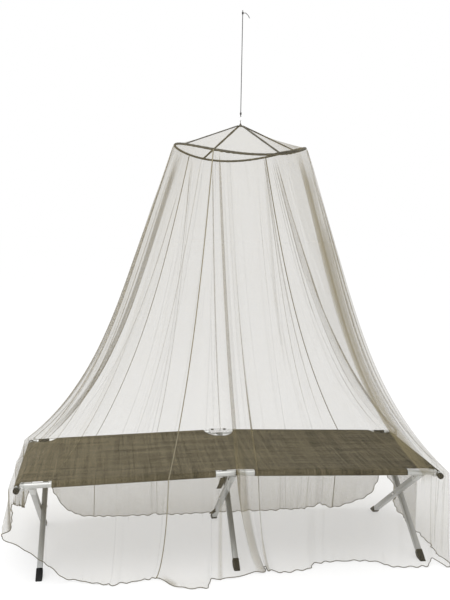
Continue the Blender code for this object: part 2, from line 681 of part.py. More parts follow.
def ball(centre, radius, half_height):
    bm = bmesh.new()
    bmesh.ops.create_uvsphere(bm, u_segments=12, v_segments=8, radius=1.0)
    bmesh.ops.scale(bm, vec=(radius, radius, half_height), verts=bm.verts)
    bmesh.ops.translate(bm, vec=centre, verts=bm.verts)
    return bm


def disc(centre, radius, height):
    bm = bmesh.new()
    bmesh.ops.create_cone(bm, cap_ends=True, segments=20, radius1=radius, radius2=radius * 0.8, depth=height)
    bmesh.ops.translate(bm, vec=centre, verts=bm.verts)
    return bm


def hook_path():
    """The axis of an S-hook in the XZ plane, open at its upper left and lower right."""
    upper, lower = HOOK_Z + HOOK_BEND, HOOK_Z - HOOK_BEND
    points = []
    for step in range(HOOK_STEPS + 1):
        turn = math.radians(HOOK_START - HOOK_SWEEP * step / HOOK_STEPS)
        points.append((HOOP_X + HOOK_BEND * math.cos(turn), 0, upper + HOOK_BEND * math.sin(turn)))
    for step in range(1, HOOK_STEPS + 1):
        turn = math.radians(90 + HOOK_SWEEP * step / HOOK_STEPS)
        points.append((HOOP_X + HOOK_BEND * math.cos(turn), 0, lower + HOOK_BEND * math.sin(turn)))
    return points


def band(outline, width, thickness, middle_x):
    """A closed loop of tape about an outline in the YZ plane."""
    bm = bmesh.new()
    count = len(outline)
    rings = []
    for i, (y, z) in enumerate(outline):
        before, after = outline[i - 1], outline[(i + 1) % count]
        along = Vector((0, after[0] - before[0], after[1] - before[1])).normalized()
        out = Vector((0, along.z, -along.y)) * thickness / 2
        half = Vector((width / 2, 0, 0))
        centre = Vector((middle_x, y, z))
        corners = ((-1, -1), (1, -1), (1, 1), (-1, 1))
        rings.append([bm.verts.new(centre + a * half + b * out) for a, b in corners])
    for i in range(count):
        near, far = rings[i], rings[(i + 1) % count]
        for k in range(4):
            bm.faces.new((near[k], near[(k + 1) % 4], far[(k + 1) % 4], far[k]))
    return bm


def build_hanging():
    foot_z = APEX_Z + NET_THICKNESS / 2 + LOOP_FOOT_HEIGHT / 2
    loop_top = HOOK_Z - 2 * HOOK_BEND + HOOK_WIRE + 2 * SEAT + LOOP_TAPE / 2
    height = loop_top - foot_z
    outline = []
    for step in range(24):
        turn = 2 * math.pi * step / 24
        rise = (1 - math.cos(turn)) / 2
        pinch = 0.45 + 0.55 * rise
        outline.append((LOOP_HALF_OPENING * math.sin(turn) * pinch, foot_z + height * rise))
    loop = band(outline, LOOP_WIDTH, LOOP_TAPE, HOOP_X)
    joined("hanging_loop", [disc((HOOP_X, 0, foot_z), LOOP_FOOT_RADIUS, LOOP_FOOT_HEIGHT), loop], "tape")

    add_object("s_hook", swept(hook_path(), HOOK_WIRE, 8, False), "steel")

    eye_low = HOOK_Z + 2 * HOOK_BEND - HOOK_WIRE - SEAT - EYE_WIRE
    eye = [
        (HOOP_X, EYE_RADIUS * math.sin(a), eye_low + EYE_RADIUS - EYE_RADIUS * math.cos(a))
        for a in np.linspace(0, 2 * math.pi, 20, endpoint=False)
    ]
    knot_z = eye_low + 2 * EYE_RADIUS + KNOT_HALF_HEIGHT * 0.6
    eye_bm = swept(eye, EYE_WIRE, 8, True, (1, 0, 0))
    joined("cord_knot_low", [ball((HOOP_X, 0, knot_z), KNOT_RADIUS, KNOT_HALF_HEIGHT), eye_bm], "cord")
    build_cord(knot_z + KNOT_HALF_HEIGHT + SEAT, CORD_TOP_Z)

    top_knot = CORD_TOP_Z + SEAT + KNOT_HALF_HEIGHT
    stub = swept([(HOOP_X, 0, top_knot), (HOOP_X, 0, STUB_TOP_Z)], CORD_RADIUS, 8, False)
    joined("cord_knot_top", [ball((HOOP_X, 0, top_knot), KNOT_RADIUS, KNOT_HALF_HEIGHT), stub], "cord")
    start = HOOP_X + KNOT_RADIUS + SEAT
    middle = np.array([(start + x, 0.0, top_knot + z) for x, z in TAIL_PATH])
    tail = middle[:, None, :] + np.array([[[0, -0.5 * TAIL_SIZE[0], 0], [0, 0.5 * TAIL_SIZE[0], 0]]])
    add_object("cord_tail", sheet(tail, TAIL_SIZE[1]), "cord")


def build_cord(low, high):
    """The straight hanging cord."""
    curve = bpy.data.curves.new("hanging_cord", "CURVE")
    curve.dimensions = "3D"
    curve.bevel_depth = CORD_RADIUS
    curve.bevel_resolution = 2
    curve.use_fill_caps = True
    spline = curve.splines.new("POLY")
    spline.points.add(CORD_POINTS - 1)
    for point, z in zip(spline.points, np.linspace(low, high, CORD_POINTS)):
        point.co = (HOOP_X, 0, z, 1)
    curve.materials.append(material("cord"))
    cord = bpy.data.objects.new("hanging_cord", curve)
    cord.location = -ORIGIN
    bpy.context.scene.collection.objects.link(cord)


def main():
    clear_scene()
    build_rails()
    build_ends()
    build_legs()
    build_deck()
    build_wall()
    build_hoop()
    build_top()
    build_hanging()


main()
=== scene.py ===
"""The looks of a bell-shaped mosquito net over a folding camp cot.

Laid out as a Blender add-on, and run as a script.
"""

import math
from collections import namedtuple

import bmesh
import bpy
import numpy as np
from bpy.props import FloatProperty, FloatVectorProperty, IntProperty, PointerProperty
from mathutils import Matrix, Vector


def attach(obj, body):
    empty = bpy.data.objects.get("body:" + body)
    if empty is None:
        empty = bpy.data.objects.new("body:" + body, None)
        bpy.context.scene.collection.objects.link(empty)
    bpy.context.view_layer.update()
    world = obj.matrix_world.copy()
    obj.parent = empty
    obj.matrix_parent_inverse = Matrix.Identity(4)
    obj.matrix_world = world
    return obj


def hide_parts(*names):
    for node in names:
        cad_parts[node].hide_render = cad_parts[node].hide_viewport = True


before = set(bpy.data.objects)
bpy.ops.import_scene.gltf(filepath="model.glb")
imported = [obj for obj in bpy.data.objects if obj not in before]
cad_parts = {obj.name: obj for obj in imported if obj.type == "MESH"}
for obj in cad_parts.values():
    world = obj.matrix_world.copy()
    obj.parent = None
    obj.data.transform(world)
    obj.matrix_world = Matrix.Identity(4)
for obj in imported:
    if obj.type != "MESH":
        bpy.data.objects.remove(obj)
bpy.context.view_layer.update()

bl_info = {
    "name": "Mosquito net over a camp cot",
    "version": (1, 0, 0),
    "blender": (4, 5, 0),
    "location": "View3D > Sidebar > Net",
    "description": "Makes a hung mosquito net, the folding cot under it, and a plain studio",
    "category": "Object",
}

# The part's origin. This and every place below is measured from the floor under the cot's middle, in metres.
ORIGIN = Vector((-0.006, -0.0416, 0.0))
ACROSS = Vector((1, 0, 0))
SIGNS = ((-1, -1), (-1, 1), (1, -1), (1, 1))
CORNER_STEPS = 3

# The cot's rails, end bars and legs
COT_HALF_LENGTH = 0.955
RAIL_Y = 0.316
RAIL_END_Z = 0.432
RAIL_RISE = 0.0276  # how much higher the rails are at the cot's middle
RAIL_END_X = 0.925
TUBE_RADIUS = 0.0125
END_BAR_Z = 0.420
END_BAR_HALF = 0.331
CAP_RADIUS = 0.0142
CAP_LENGTH = 0.020
FAR_SLEEVES = ((-0.916, -0.862), (0.858, 0.916))  # black sleeves on the far rail
LEG_PAIR_X = {"left": -0.880, "middle": 0.0, "right": 0.886}
LEG_SIDE = 0.0250
LEG_OFFSET = 0.0129  # from the pair's middle to each leg's
SLEEVE_SIDE = 0.0276
SLEEVE_LENGTH = 0.090
FOOT_Y = 0.2994
FOOT_SIDE = 0.0290
FOOT_LENGTH = 0.046

# The cot's cloth
WRAP = TUBE_RADIUS + 0.0012  # from a tube's middle to the cloth round it
DECK_EDGE = 0.305  # half the breadth of the cloth between its sleeves
DECK_SAG = 0.006
SAG_HALF_WIDTH = 0.30
BARE_RAIL = {"left": (-0.925, -0.808), "middle": (-0.093, 0.083), "right": (0.800, 0.925)}
BACK_RECESS = {"left": (-0.893, 0.066), "middle": (0.006, 0.078), "right": (0.893, 0.066)}  # place and radius
RECESS_DEPTH = {"left": 1.0, "middle": 1.5, "right": 1.0}  # how deep each recess is for its half width
RECESS_Y = RAIL_Y + 0.012  # where the round recesses have their middles

# The hoop and the top; angles are in degrees
HOOP_X = 0.040
HOOP_RADIUS = 0.3026
HOOP_Z = 1.891
HOOP_LIFT = 0.0263
HOOP_TWIST = 0.005
HOOP_TUBE = 0.0045
LOOSE_CASING = (284, 322)  # between these a loose fold of the hoop's casing stands up
APEX_Z = 2.009
APEX_RADIUS = 0.012
GORE_SEAMS = (207, 296, 382, 477)
GORE_SAG = 0.012

# The wall
SAG = 0.35  # how far the wall hangs in from a straight line
SAG_POWER = 3.0  # how late it spreads to the cot's edge along the two sides
END_POWER = 2.3  # and how much later at the two ends
SIDE_HALF = 0.650  # from here to END_HALF along the cot the sides' hang turns into the ends'
END_HALF = 0.980
EDGE_Z = 0.440
NET_CLEARANCE = 0.0014  # between the hoop's casing and the net
HEM_LIFT = 0.0022  # the hem's height where it lies on the floor
LEAST_HEIGHT = 0.0016  # no point of the wall is lower
HEM_CRIMP = 0.0024  # how far the hem wavers
PLEAT_HALF_WIDTH = 0.026
PLEAT_LEAN = 0.45  # how far to one side the crest of a lapped pleat stands, over its half width
GATHER_HEIGHT = 0.0006
WAVE_HEIGHT = 0.0022
FAR_SHADE = 1.5  # painted shade: layers more that the net seems to have behind the cot, under its cloth, to darken the far wall where the deck shades it
COLUMN_STEP = 0.0075  # between the wall's columns where it is plain
COLUMN_LEAST = 0.0011  # and the least where they crowd
ROWS_ABOVE = 66
ROWS_BELOW = 24

# The hook, the cord and its knots
HOOK_Z = 2.0445
HOOK_BEND = 0.0055
HOOK_WIRE = 0.0012
EYE_RADIUS = 0.0050
EYE_WIRE = 0.0013
CORD_RADIUS = 0.0018
CORD_LOW_Z = 2.0729
CORD_TOP_Z = 2.508
STUB_TOP_Z = 2.527
KNOT_RADIUS = 0.0042
KNOT_HALF_HEIGHT = 0.0062
KNOT_WIND_RADIUS = 0.0026
# The cord's tail: out from the knot, and up
TAIL_ROUTE = ((0.0, 0.0), (0.010, 0.001), (0.018, -0.005), (0.025, -0.013), (0.029, -0.0215))

# Sections of the tapes: across, in half widths, and out from the net in metres
WALL_TAPE_SECTION = ((-1, 0.0004), (-1, 0.0012), (1, 0.0012), (1, 0.0004))
TOP_TAPE_SECTION = ((-1, 0.0008), (-0.9, 0.0034), (0, 0.0044), (0.9, 0.0034), (1, 0.0008))
# Stitches: the length and thickness of each, and for the cot first the pitch
NET_STITCH = (0.0028, 0.0006)
COT_STITCH = (0.005, 0.0034, 0.0007)

# Turned forms: distance along the axis, and radius
LOOP_FOOT = (
    (-0.002, 0.0138),
    (0.0006, 0.0144),
    (0.0024, 0.0110),
    (0.0050, 0.0062),
    (0.0085, 0.0040),
    (0.0120, 0.0034),
)
CAP_PROFILE = (
    (0.0, CAP_RADIUS - 0.0006),
    (0.0008, CAP_RADIUS),
    (0.0040, CAP_RADIUS),
    (0.0046, CAP_RADIUS - 0.0008),
    (CAP_LENGTH - 0.0050, CAP_RADIUS - 0.0010),
    (CAP_LENGTH - 0.0020, CAP_RADIUS - 0.0028),
    (CAP_LENGTH - 0.0004, CAP_RADIUS - 0.0062),
    (CAP_LENGTH, CAP_RADIUS - 0.0090),
)
HINGE_RING = ((0, 0.0119), (0.0006, 0.0125), (0.0064, 0.0125), (0.0070, 0.0119))
RIVET_HEAD = ((0, 0.0048), (0.0012, 0.0046), (0.0022, 0.0034), (0.0026, 0.0016))
PLATE_BOLT = ((0, 0.0078), (0.0006, 0.0080), (0.0022, 0.0072), (0.0034, 0.0048), (0.0038, 0.0016))
SCREW_HEAD = ((0, 0.0040), (0.0008, 0.0042), (0.0018, 0.0034), (0.0022, 0.0014))
LEG_BOLT = ((0, 0.0085), (0.0010, 0.0085), (0.0012, 0.0062), (0.0026, 0.0060), (0.0030, 0.0046))
ARM_BOLT = ((0, 0.0058), (0.0008, 0.0060), (0.0024, 0.0050), (0.0030, 0.0020))

# A foot's rings: distance up the leg, and side
FOOT_RINGS = (
    (0.0, FOOT_SIDE - 0.0016),
    (0.0015, FOOT_SIDE),
    (FOOT_LENGTH - 0.003, FOOT_SIDE),
    (FOOT_LENGTH, FOOT_SIDE - 0.0022),
)
# The webbing straps: where each starts and ends, and how far it sags
STRAPS = (
    ((-0.060, -0.312, 0.438), (-0.074, -0.290, 0.380), 0.008),
    ((0.002, 0.150, 0.128), (-0.044, 0.170, 0.072), 0.006),
)
STRAP_CORNERS = ((-1, -1), (1, -1), (1, 1), (-1, 1))
# Two lips and a web of the middle leg's channel: place off its middle, side, corner, and stretch
ARM_BARS = ((-0.0115, 0.0030, 0.0008, 1.0), (0.0115, 0.0030, 0.0008, 1.0), (0.0, 0.0060, 0.0012, 3.6))

# The stage
EYE_PLACE = (-0.565, -3.628, 1.653)
EYE_TURN = (8.58, 7.06, 1.04)  # degrees to the right, down and over
LAYERS_SEEN_THROUGH = 96

Fold = namedtuple("Fold", "name hoop edge_x edge_y hem_x hem_y hem_z trail pleat lap dense")
# One row for each fold: hoop is the angle at which it leaves the hoop, edge where it crosses the cot's edge,
# hem where its hem lies, trail how much later it runs out than it falls, and pleat how far it stands out. lap
# is how far its cloth doubles back under itself, to the right where it is positive, and dense how many more
# layers are bunched there than the surface shows.
FOLDS = [
    Fold("near seam", 239.0, -0.305, -0.339, -0.357, -0.355, 0.0, 0.5, 0.0, 0.0, 0.0),
    Fold("flap corner", 239.5, -0.245, -0.339, -0.255, -0.452, 0.0, 1.2, 0.0, 0.0, 0.0),
    Fold("flap hem", 240.0, -0.165, -0.339, -0.14, -0.468, 0.0, 1.2, 0.0, 0.0, 0.0),
    Fold("flap end", 240.5, -0.105, -0.339, -0.112, -0.388, 0.0, 0.6, 0.004, 0.004, 0.0),
    Fold("near hem, middle", 241.0, -0.05, -0.339, -0.037, -0.393, 0.0, 0.5, 0.0, 0.0, 0.0),
    Fold("wide fold", 241.6, 0.006, -0.339, 0.1, -0.336, 0.0, 0.3, 0.024, 0.022, 0.35),
    Fold("drawn-up hem", 244.6, 0.055, -0.339, 0.146, -0.3, 0.0, 0.2, 0.0, 0.0, 0.0),
    Fold("narrow fold", 248.0, 0.097, -0.339, 0.167, -0.335, 0.0, 0.3, 0.016, -0.012, 0.2),
    Fold("hem after the folds", 252.0, 0.15, -0.339, 0.2, -0.366, 0.0, 0.4, 0.0, 0.0, 0.0),
    Fold("near hem, right of middle", 260.0, 0.29, -0.339, 0.33, -0.345, 0.0, 0.2, 0.0, 0.0, 0.0),
    Fold("hem drawn in", 268.0, 0.39, -0.339, 0.409, -0.284, 0.0, 0.1, 0.006, 0.0, 0.0),
    Fold("near hem, right", 283.0, 0.6, -0.339, 0.634, -0.296, 0.0, 0.1, 0.0, 0.0, 0.0),
    Fold("near hem let out", 295.0, 0.74, -0.339, 0.749, -0.366, 0.0, 0.4, 0.006, 0.006, 0.0),
    Fold("near hem, far right", 309.0, 0.87, -0.343, 0.89, -0.381, 0.0, 0.5, 0.0, 0.0, 0.0),
    Fold("tuck under the near right cap", 322.0, 0.94, -0.354, 0.93, -0.35, 0.022, 0.0, 0.01, 0.008, 0.0),
    Fold("near right corner", 336.0, 0.974, -0.357, 0.99, -0.384, 0.0, 0.3, 0.016, 0.008, 0.0),
    Fold("tuck past the corner", 344.0, 0.984, -0.33, 0.984, -0.3, 0.006, 0.0, 0.0, 0.0, 0.0),
    Fold("right end, near", 349.0, 0.985, -0.16, 1.0, -0.17, 0.0, 0.2, 0.008, 0.008, 0.0),
    Fold("right end, middle", 353.0, 0.985, 0.01, 0.99, 0.01, 0.006, 0.1, 0.0, 0.0, 0.0),
    Fold("right end, far", 357.0, 0.985, 0.2, 0.985, 0.2, 0.01, 0.0, 0.008, -0.008, 0.0),
    Fold("far right corner, end side", 364.0, 0.983, 0.325, 0.986, 0.31, 0.045, 0.0, 0.018, 0.014, 0.2),
    Fold("far right corner", 373.0, 0.972, 0.356, 0.975, 0.364, 0.15, 0.0, 0.014, -0.014, 0.5),
    Fold("far right corner, back", 383.0, 0.948, 0.355, 0.95, 0.362, 0.225, 0.0, 0.022, 0.014, 0.3),
    Fold("far right gather", 394.0, 0.912, 0.347, 0.91, 0.351, 0.135, 0.0, 0.014, 0.01, 0.0),
    Fold("far hem coming down", 404.0, 0.84, 0.339, 0.85, 0.346, 0.06, 0.0, 0.0, 0.0, 0.0),
    Fold("far seam", 415.5, 0.668, 0.339, 0.65, 0.346, 0.004, 0.0, 0.0, 0.0, 0.0),
    Fold("lapped far hem", 420.0, 0.6, 0.339, 0.59, 0.35, 0.022, 0.0, 0.01, 0.01, 0.0),
    Fold("far fold, right", 429.0, 0.525, 0.339, 0.5, 0.35, 0.0, 0.1, 0.01, -0.01, 0.0),
    Fold("far fold", 440.0, 0.377, 0.339, 0.39, 0.348, 0.0, 0.1, 0.012, 0.012, 0.0),
    Fold("far fold, right of middle", 452.0, 0.197, 0.339, 0.2, 0.348, 0.0, 0.1, 0.008, 0.008, 0.0),
    Fold("far fold, middle", 466.0, 0.024, 0.339, 0.02, 0.35, 0.0, 0.1, 0.012, -0.012, 0.0),
    Fold("far wall, left of middle", 479.0, -0.15, 0.339, -0.14, 0.345, 0.0, 0.1, 0.0, 0.0, 0.0),
    Fold("far fold, left", 489.0, -0.319, 0.339, -0.31, 0.35, 0.0, 0.1, 0.014, 0.014, 0.0),
    Fold("far left seam", 493.5, -0.632, 0.339, -0.64, 0.346, 0.006, 0.0, 0.0, 0.0, 0.0),
    Fold("far hem going up", 501.0, -0.77, 0.339, -0.775, 0.346, 0.05, 0.0, 0.0, 0.0, 0.0),
    Fold("far left gather", 509.0, -0.872, 0.347, -0.85, 0.348, 0.15, 0.0, 0.016, -0.014, 0.0),
    Fold("far left corner, back", 518.0, -0.94, 0.355, -0.925, 0.36, 0.25, 0.0, 0.022, 0.018, 0.3),
    Fold("far left corner", 526.0, -0.972, 0.356, -0.975, 0.36, 0.14, 0.0, 0.012, -0.012, 0.2),
    Fold("far left corner, end side", 533.0, -0.983, 0.325, -0.986, 0.31, 0.09, 0.0, 0.01, 0.008, 0.0),
    Fold("left end, far", 540.0, -0.985, 0.18, -0.988, 0.186, 0.14, 0.0, 0.0, 0.0, 0.0),
    Fold("left end, middle", 546.0, -0.985, 0.0, -0.99, 0.0, 0.22, 0.0, 0.01, 0.01, 0.0),
    Fold("left end, near", 551.0, -0.985, -0.18, -0.99, -0.2, 0.3, 0.0, 0.0, 0.0, 0.0),
    Fold("tuck under the near left cap", 555.0, -0.984, -0.325, -0.974, -0.322, 0.25, 0.0, 0.0, 0.0, 0.0),
    Fold("near left corner", 559.0, -0.974, -0.3595, -1.01, -0.372, 0.232, 0.0, 0.01, 0.008, 0.2),
    Fold("near left, falling hem", 564.0, -0.935, -0.3535, -0.945, -0.364, 0.178, 0.0, 0.0, 0.0, 0.0),
    Fold("near left gather", 571.0, -0.83, -0.339, -0.835, -0.362, 0.1, 0.0, 0.01, -0.01, 0.2),
    Fold("near left hem meets the floor", 581.0, -0.7, -0.339, -0.725, -0.346, 0.006, 0.1, 0.0, 0.0, 0.0),
    Fold("near left fold", 590.0, -0.53, -0.339, -0.56, -0.388, 0.0, 0.5, 0.01, 0.01, 0.0),
    Fold("near left, before the seam", 595.0, -0.42, -0.339, -0.44, -0.376, 0.0, 0.5, 0.0, 0.0, 0.0),
]
# How the folds lean: metres round the cot's edge, and the metres at which the same fold leaves the hoop
LEAN = [
    (0.000, 0.000),
    (0.415, 0.472),
    (0.595, 0.625),
    (1.179, 1.227),
    (1.280, 1.290),
    (1.649, 1.700),
    (1.922, 2.100),
    (1.976, 2.180),
    (2.100, 2.238),
    (2.308, 2.308),
    (2.436, 2.330),
    (2.530, 2.342),
    (2.595, 2.410),
    (2.760, 2.740),
    (2.942, 2.946),
    (3.123, 3.090),
    (3.318, 3.309),
    (3.466, 3.466),
    (3.602, 3.602),
    (3.800, 3.640),
    (3.857, 3.846),
    (4.000, 4.000),
    (5.332, 5.332),
]

Crease = namedtuple("Crease", "name at half_width height dense first last")
# The pinched folds that show most: at is metres round the cot's edge, half_width and height are in metres,
# and dense is the layers bunched in it. first and last say where it runs, from 0 at the hoop by 1 at the
# cot's edge to 2 at the hem; where last is past 2 it is whole at the hem.
CREASES = [
    Crease("turned-up hem by the near seam", 0.034, 0.022, 0.004, 1.8, 1.86, 2.3),
    Crease("beside the flap", 0.15, 0.003, 0.008, 0.0, 0.0, 1.3),
    Crease("flap's right edge, low", 0.232, 0.01, 0.005, 1.3, 1.1, 2.3),
    Crease("wide fold, low", 0.33, 0.026, 0.004, 1.7, 0.9, 2.3),
    Crease("narrow fold, low", 0.402, 0.013, 0.005, 1.8, 0.7, 2.3),
    Crease("short, at the hoop", 0.62, 0.006, 0.007, 0.5, 0.0, 0.16),
    Crease("right of the wide fold", 0.415, 0.003, 0.006, 0.0, 0.55, 1.6),
    Crease("short, at the hoop's right", 0.98, 0.006, 0.008, 0.4, 0.0, 0.12),
    Crease("right band, core", 1.172, 0.012, 0.006, 3.6, 0.0, 1.1),
    Crease("right band", 1.196, 0.025, 0.003, 2.0, 0.02, 1.1),
    Crease("right band, lower", 1.206, 0.042, 0.003, 1.8, 0.22, 1.1),
    Crease("right corner, inner line", 1.24, 0.003, 0.008, 0.4, 0.0, 1.6),
    Crease("right corner, outer line", 1.264, 0.003, 0.008, 0.6, 0.1, 1.9),
    Crease("faint, far right", 1.922, 0.0035, 0.007, 0.0, 0.1, 0.6),
    Crease("soft, to the far right corner", 1.976, 0.012, 0.004, 1.0, 0.05, 1.0),
    Crease("its dark side", 1.962, 0.003, 0.009, 0.5, 0.0, 1.0),
    Crease("low, to the far right corner", 2.05, 0.003, 0.007, 0.2, 0.6, 1.0),
    Crease("long, to the far right corner", 2.1, 0.003, 0.01, 0.4, 0.0, 1.0),
    Crease("low, right of the far seam", 2.436, 0.004, 0.009, 0.3, 0.6, 1.6),
    Crease("soft, beside the far seam", 2.53, 0.01, 0.004, 0.8, 0.03, 0.8),
    Crease("low, middle right", 2.595, 0.0035, 0.008, 0.3, 0.45, 1.6),
    Crease("far, behind the flap", 2.942, 0.003, 0.009, 0.4, 0.0, 1.8),
    Crease("low, behind the flap", 2.985, 0.003, 0.006, 0.2, 0.55, 1.0),
    Crease("faint, at the hoop", 3.123, 0.0035, 0.005, 0.0, 0.0, 0.32),
    Crease("long, left of the near seam", 3.318, 0.0032, 0.01, 0.5, 0.0, 1.8),
    Crease("low, far left", 3.466, 0.003, 0.006, 0.2, 0.3, 1.6),
    Crease("left of the far left seam", 3.79, 0.003, 0.009, 0.4, 0.12, 1.0),
    Crease("left band's inner line", 3.832, 0.003, 0.008, 0.5, 0.45, 1.0),
    Crease("left band", 3.86, 0.0125, 0.005, 3.0, 0.0, 1.04),
    Crease("left corner, inner line", 3.925, 0.003, 0.007, 0.2, 0.2, 1.0),
    Crease("left corner, outer line", 4.01, 0.003, 0.008, 0.3, 0.1, 1.0),
    Crease("strip under the near left cap", 4.63, 0.014, 0.005, 3.5, 1.03, 2.2),
]
# How things change down the wall: the drops, and the share at each
SPREAD = ([0, 0.5, 1, 2], [0.36, 0.62, 1.0, 1.05])  # the wall's width over its width at the cot's edge
PLEAT_GROWTH = ([0, 0.06, 0.35, 0.8, 1, 1.3, 2], [0.05, 0.35, 0.8, 1, 0.55, 0.9, 1.0])
LAP_GROWTH = ([0, 0.04, 0.9, 1.1, 2], [0.2, 1.0, 1.0, 0.8, 0.5])
CREASE_GROWTH = ([0, 0.1, 1, 2], [0.35, 0.9, 0.9, 1])
WAVE_GROWTH = ([0.85, 1.0, 1.2], [1.0, 0.2, 1.0])
BUNCH_GROWTH = ([0, 0.1, 0.6, 1.0, 1.25, 2], [0.5, 1.0, 1.0, 1.0, 0.5, 0.2])

SEAM_NAMES = ("near seam", "far seam", "far left seam")
PANEL_NAMES = ("wall_panel_right", "wall_panel_far", "wall_panel_left")
SEAM_ROWS = [[fold.name for fold in FOLDS].index(name) for name in SEAM_NAMES] + [len(FOLDS)]


# ---------------------------------------------------------------- what a user may change


class NetSettings(bpy.types.PropertyGroup):
    colour: FloatVectorProperty(
        name="Thread", description="Colour of the netting's thread",
        subtype="COLOR", default=(0.205, 0.172, 0.098),
    )
    coverage: FloatProperty(
        name="Coverage", description="Share of a flat piece of net that is thread",
        default=0.146, min=0.02, max=0.9,
    )
    cell: FloatProperty(
        name="Mesh", description="Width of one opening of the net",
        subtype="DISTANCE", default=0.0016, min=0.0005,
    )
    tape_colour: FloatVectorProperty(
        name="Tape", description="Colour of the binding and seam tapes",
        subtype="COLOR", default=(0.075, 0.066, 0.045),
    )
    wall_tape: FloatProperty(
        name="Wall tape", description="Width of the tape on the wall's seams",
        subtype="DISTANCE", default=0.0048,
    )
    top_tape: FloatProperty(
        name="Top tape", description="Width of the tape on the top's seams",
        subtype="DISTANCE", default=0.0112,
    )
    hem_radius: FloatProperty(
        name="Hem", description="Half the thickness of the rolled hem",
        subtype="DISTANCE", default=0.0018,
    )
    stitch_pitch: FloatProperty(
        name="Stitch", description="From one stitch to the next",
        subtype="DISTANCE", default=0.0042, min=0.001,
    )
    crease_count: IntProperty(
        name="Creases", description="Faint pinched folds besides the main ones",
        default=26, min=0,
    )
    seed: IntProperty(name="Seed", description="Which arrangement of small folds", default=7)


class HangingSettings(bpy.types.PropertyGroup):
    cord_colour: FloatVectorProperty(
        name="Cord", description="Colour of the hanging cord", subtype="COLOR", default=(0.035, 0.033, 0.030)
    )
    steel_colour: FloatVectorProperty(
        name="Hook", description="Colour of the plated hook", subtype="COLOR", default=(0.86, 0.86, 0.86)
    )


class CotSettings(bpy.types.PropertyGroup):
    cloth_colour: FloatVectorProperty(
        name="Cloth", description="Colour of the cot's cloth", subtype="COLOR", default=(0.088, 0.075, 0.048)
    )
    tube_colour: FloatVectorProperty(
        name="Tube", description="Colour of the aluminium", subtype="COLOR", default=(0.66, 0.67, 0.66)
    )
    plastic_colour: FloatVectorProperty(
        name="Plastic", description="Colour of caps and feet", subtype="COLOR", default=(0.006, 0.006, 0.006)
    )
    leg_corner: FloatProperty(
        name="Corner", description="Rounding of the legs' corners", subtype="DISTANCE", default=0.0028
    )


class StageSettings(bpy.types.PropertyGroup):
    floor_colour: FloatVectorProperty(
        name="Floor", description="Colour of the floor", subtype="COLOR", default=(0.45, 0.45, 0.45)
    )
    glow: FloatProperty(name="Glow", description="How much the floor shines by itself", default=0.55, min=0.0)
    light: FloatProperty(name="Light", description="Power of the large overhead light", default=70.0, min=0.0)
    focal_length: FloatProperty(
        name="Lens", description="Camera's focal length on a 36 mm long side",
        subtype="DISTANCE_CAMERA", default=46.73,
    )


# ---------------------------------------------------------------- meshes


def new_object(name, data):
    """An object that shows some data, put into the scene."""
    obj = bpy.data.objects.new(name, data)
    bpy.context.scene.collection.objects.link(obj)
    return obj


def add_mesh(name, points, faces, materials, uv=None, attributes=None, slots=None, sharp=None):
    """An object from points and faces. uv and attributes hold one value for each point."""
    mesh = bpy.data.meshes.new(name)
    shifted = np.asarray(points, float) - np.array(ORIGIN)
    mesh.from_pydata(shifted.tolist(), [], [tuple(map(int, face)) for face in faces])
    for made in materials:
        mesh.materials.append(made)
    if slots is not None:
        mesh.polygons.foreach_set("material_index", np.asarray(slots, np.int32))
    loops = np.empty(len(mesh.loops), np.int32)
    mesh.loops.foreach_get("vertex_index", loops)
    if uv is not None:
        layer = mesh.uv_layers.new(name="cloth")
        layer.data.foreach_set("uv", np.asarray(uv, np.float32)[loops].ravel())
    for label, values in (attributes or {}).items():
        attribute = mesh.attributes.new(label, "FLOAT", "POINT")
        attribute.data.foreach_set("value", np.asarray(values, np.float32))
    mesh.shade_smooth()
    if sharp is not None:
        mesh.set_sharp_from_angle(angle=math.radians(sharp))
    mesh.update()
    return new_object(name, mesh)


def finish_piece(obj, replaces=()):
    """Gives a piece its body and the solids that it stands for."""
    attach(obj, "root")
    if replaces:
        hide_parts(*replaces)
    return obj


def unit(vectors):
    """Each vector divided by its length."""
    return vectors / np.maximum(np.linalg.norm(vectors, axis=-1, keepdims=True), 1e-12)


def full_turn(count):
    """Angles evenly round a circle."""
    return np.arange(count) * 2 * math.pi / count


def turn_frames(path, across, closed):
    """Unit vectors along a path and two across it."""
    path = np.asarray(path, float)
    if closed:
        along = np.roll(path, -1, 0) - np.roll(path, 1, 0)
    else:
        along = np.gradient(path, axis=0)
    along = unit(along)
    side = unit(np.cross(along, np.broadcast_to(np.asarray(across, float), along.shape)))
    return along, side, np.cross(side, along)


def ring_faces(rings, count, closed=False):
    """Faces between rings of points that follow one another, and over the two ends of an open form."""
    faces = []
    for i in range(rings if closed else rings - 1):
        here, after = i * count, (i + 1) % rings * count
        for k in range(count):
            beside = (k + 1) % count
            faces.append((here + k, here + beside, after + beside, after + k))
    if not closed:
        faces.append(tuple(range(count))[::-1])
        faces.append(tuple((rings - 1) * count + k for k in range(count)))
    return faces


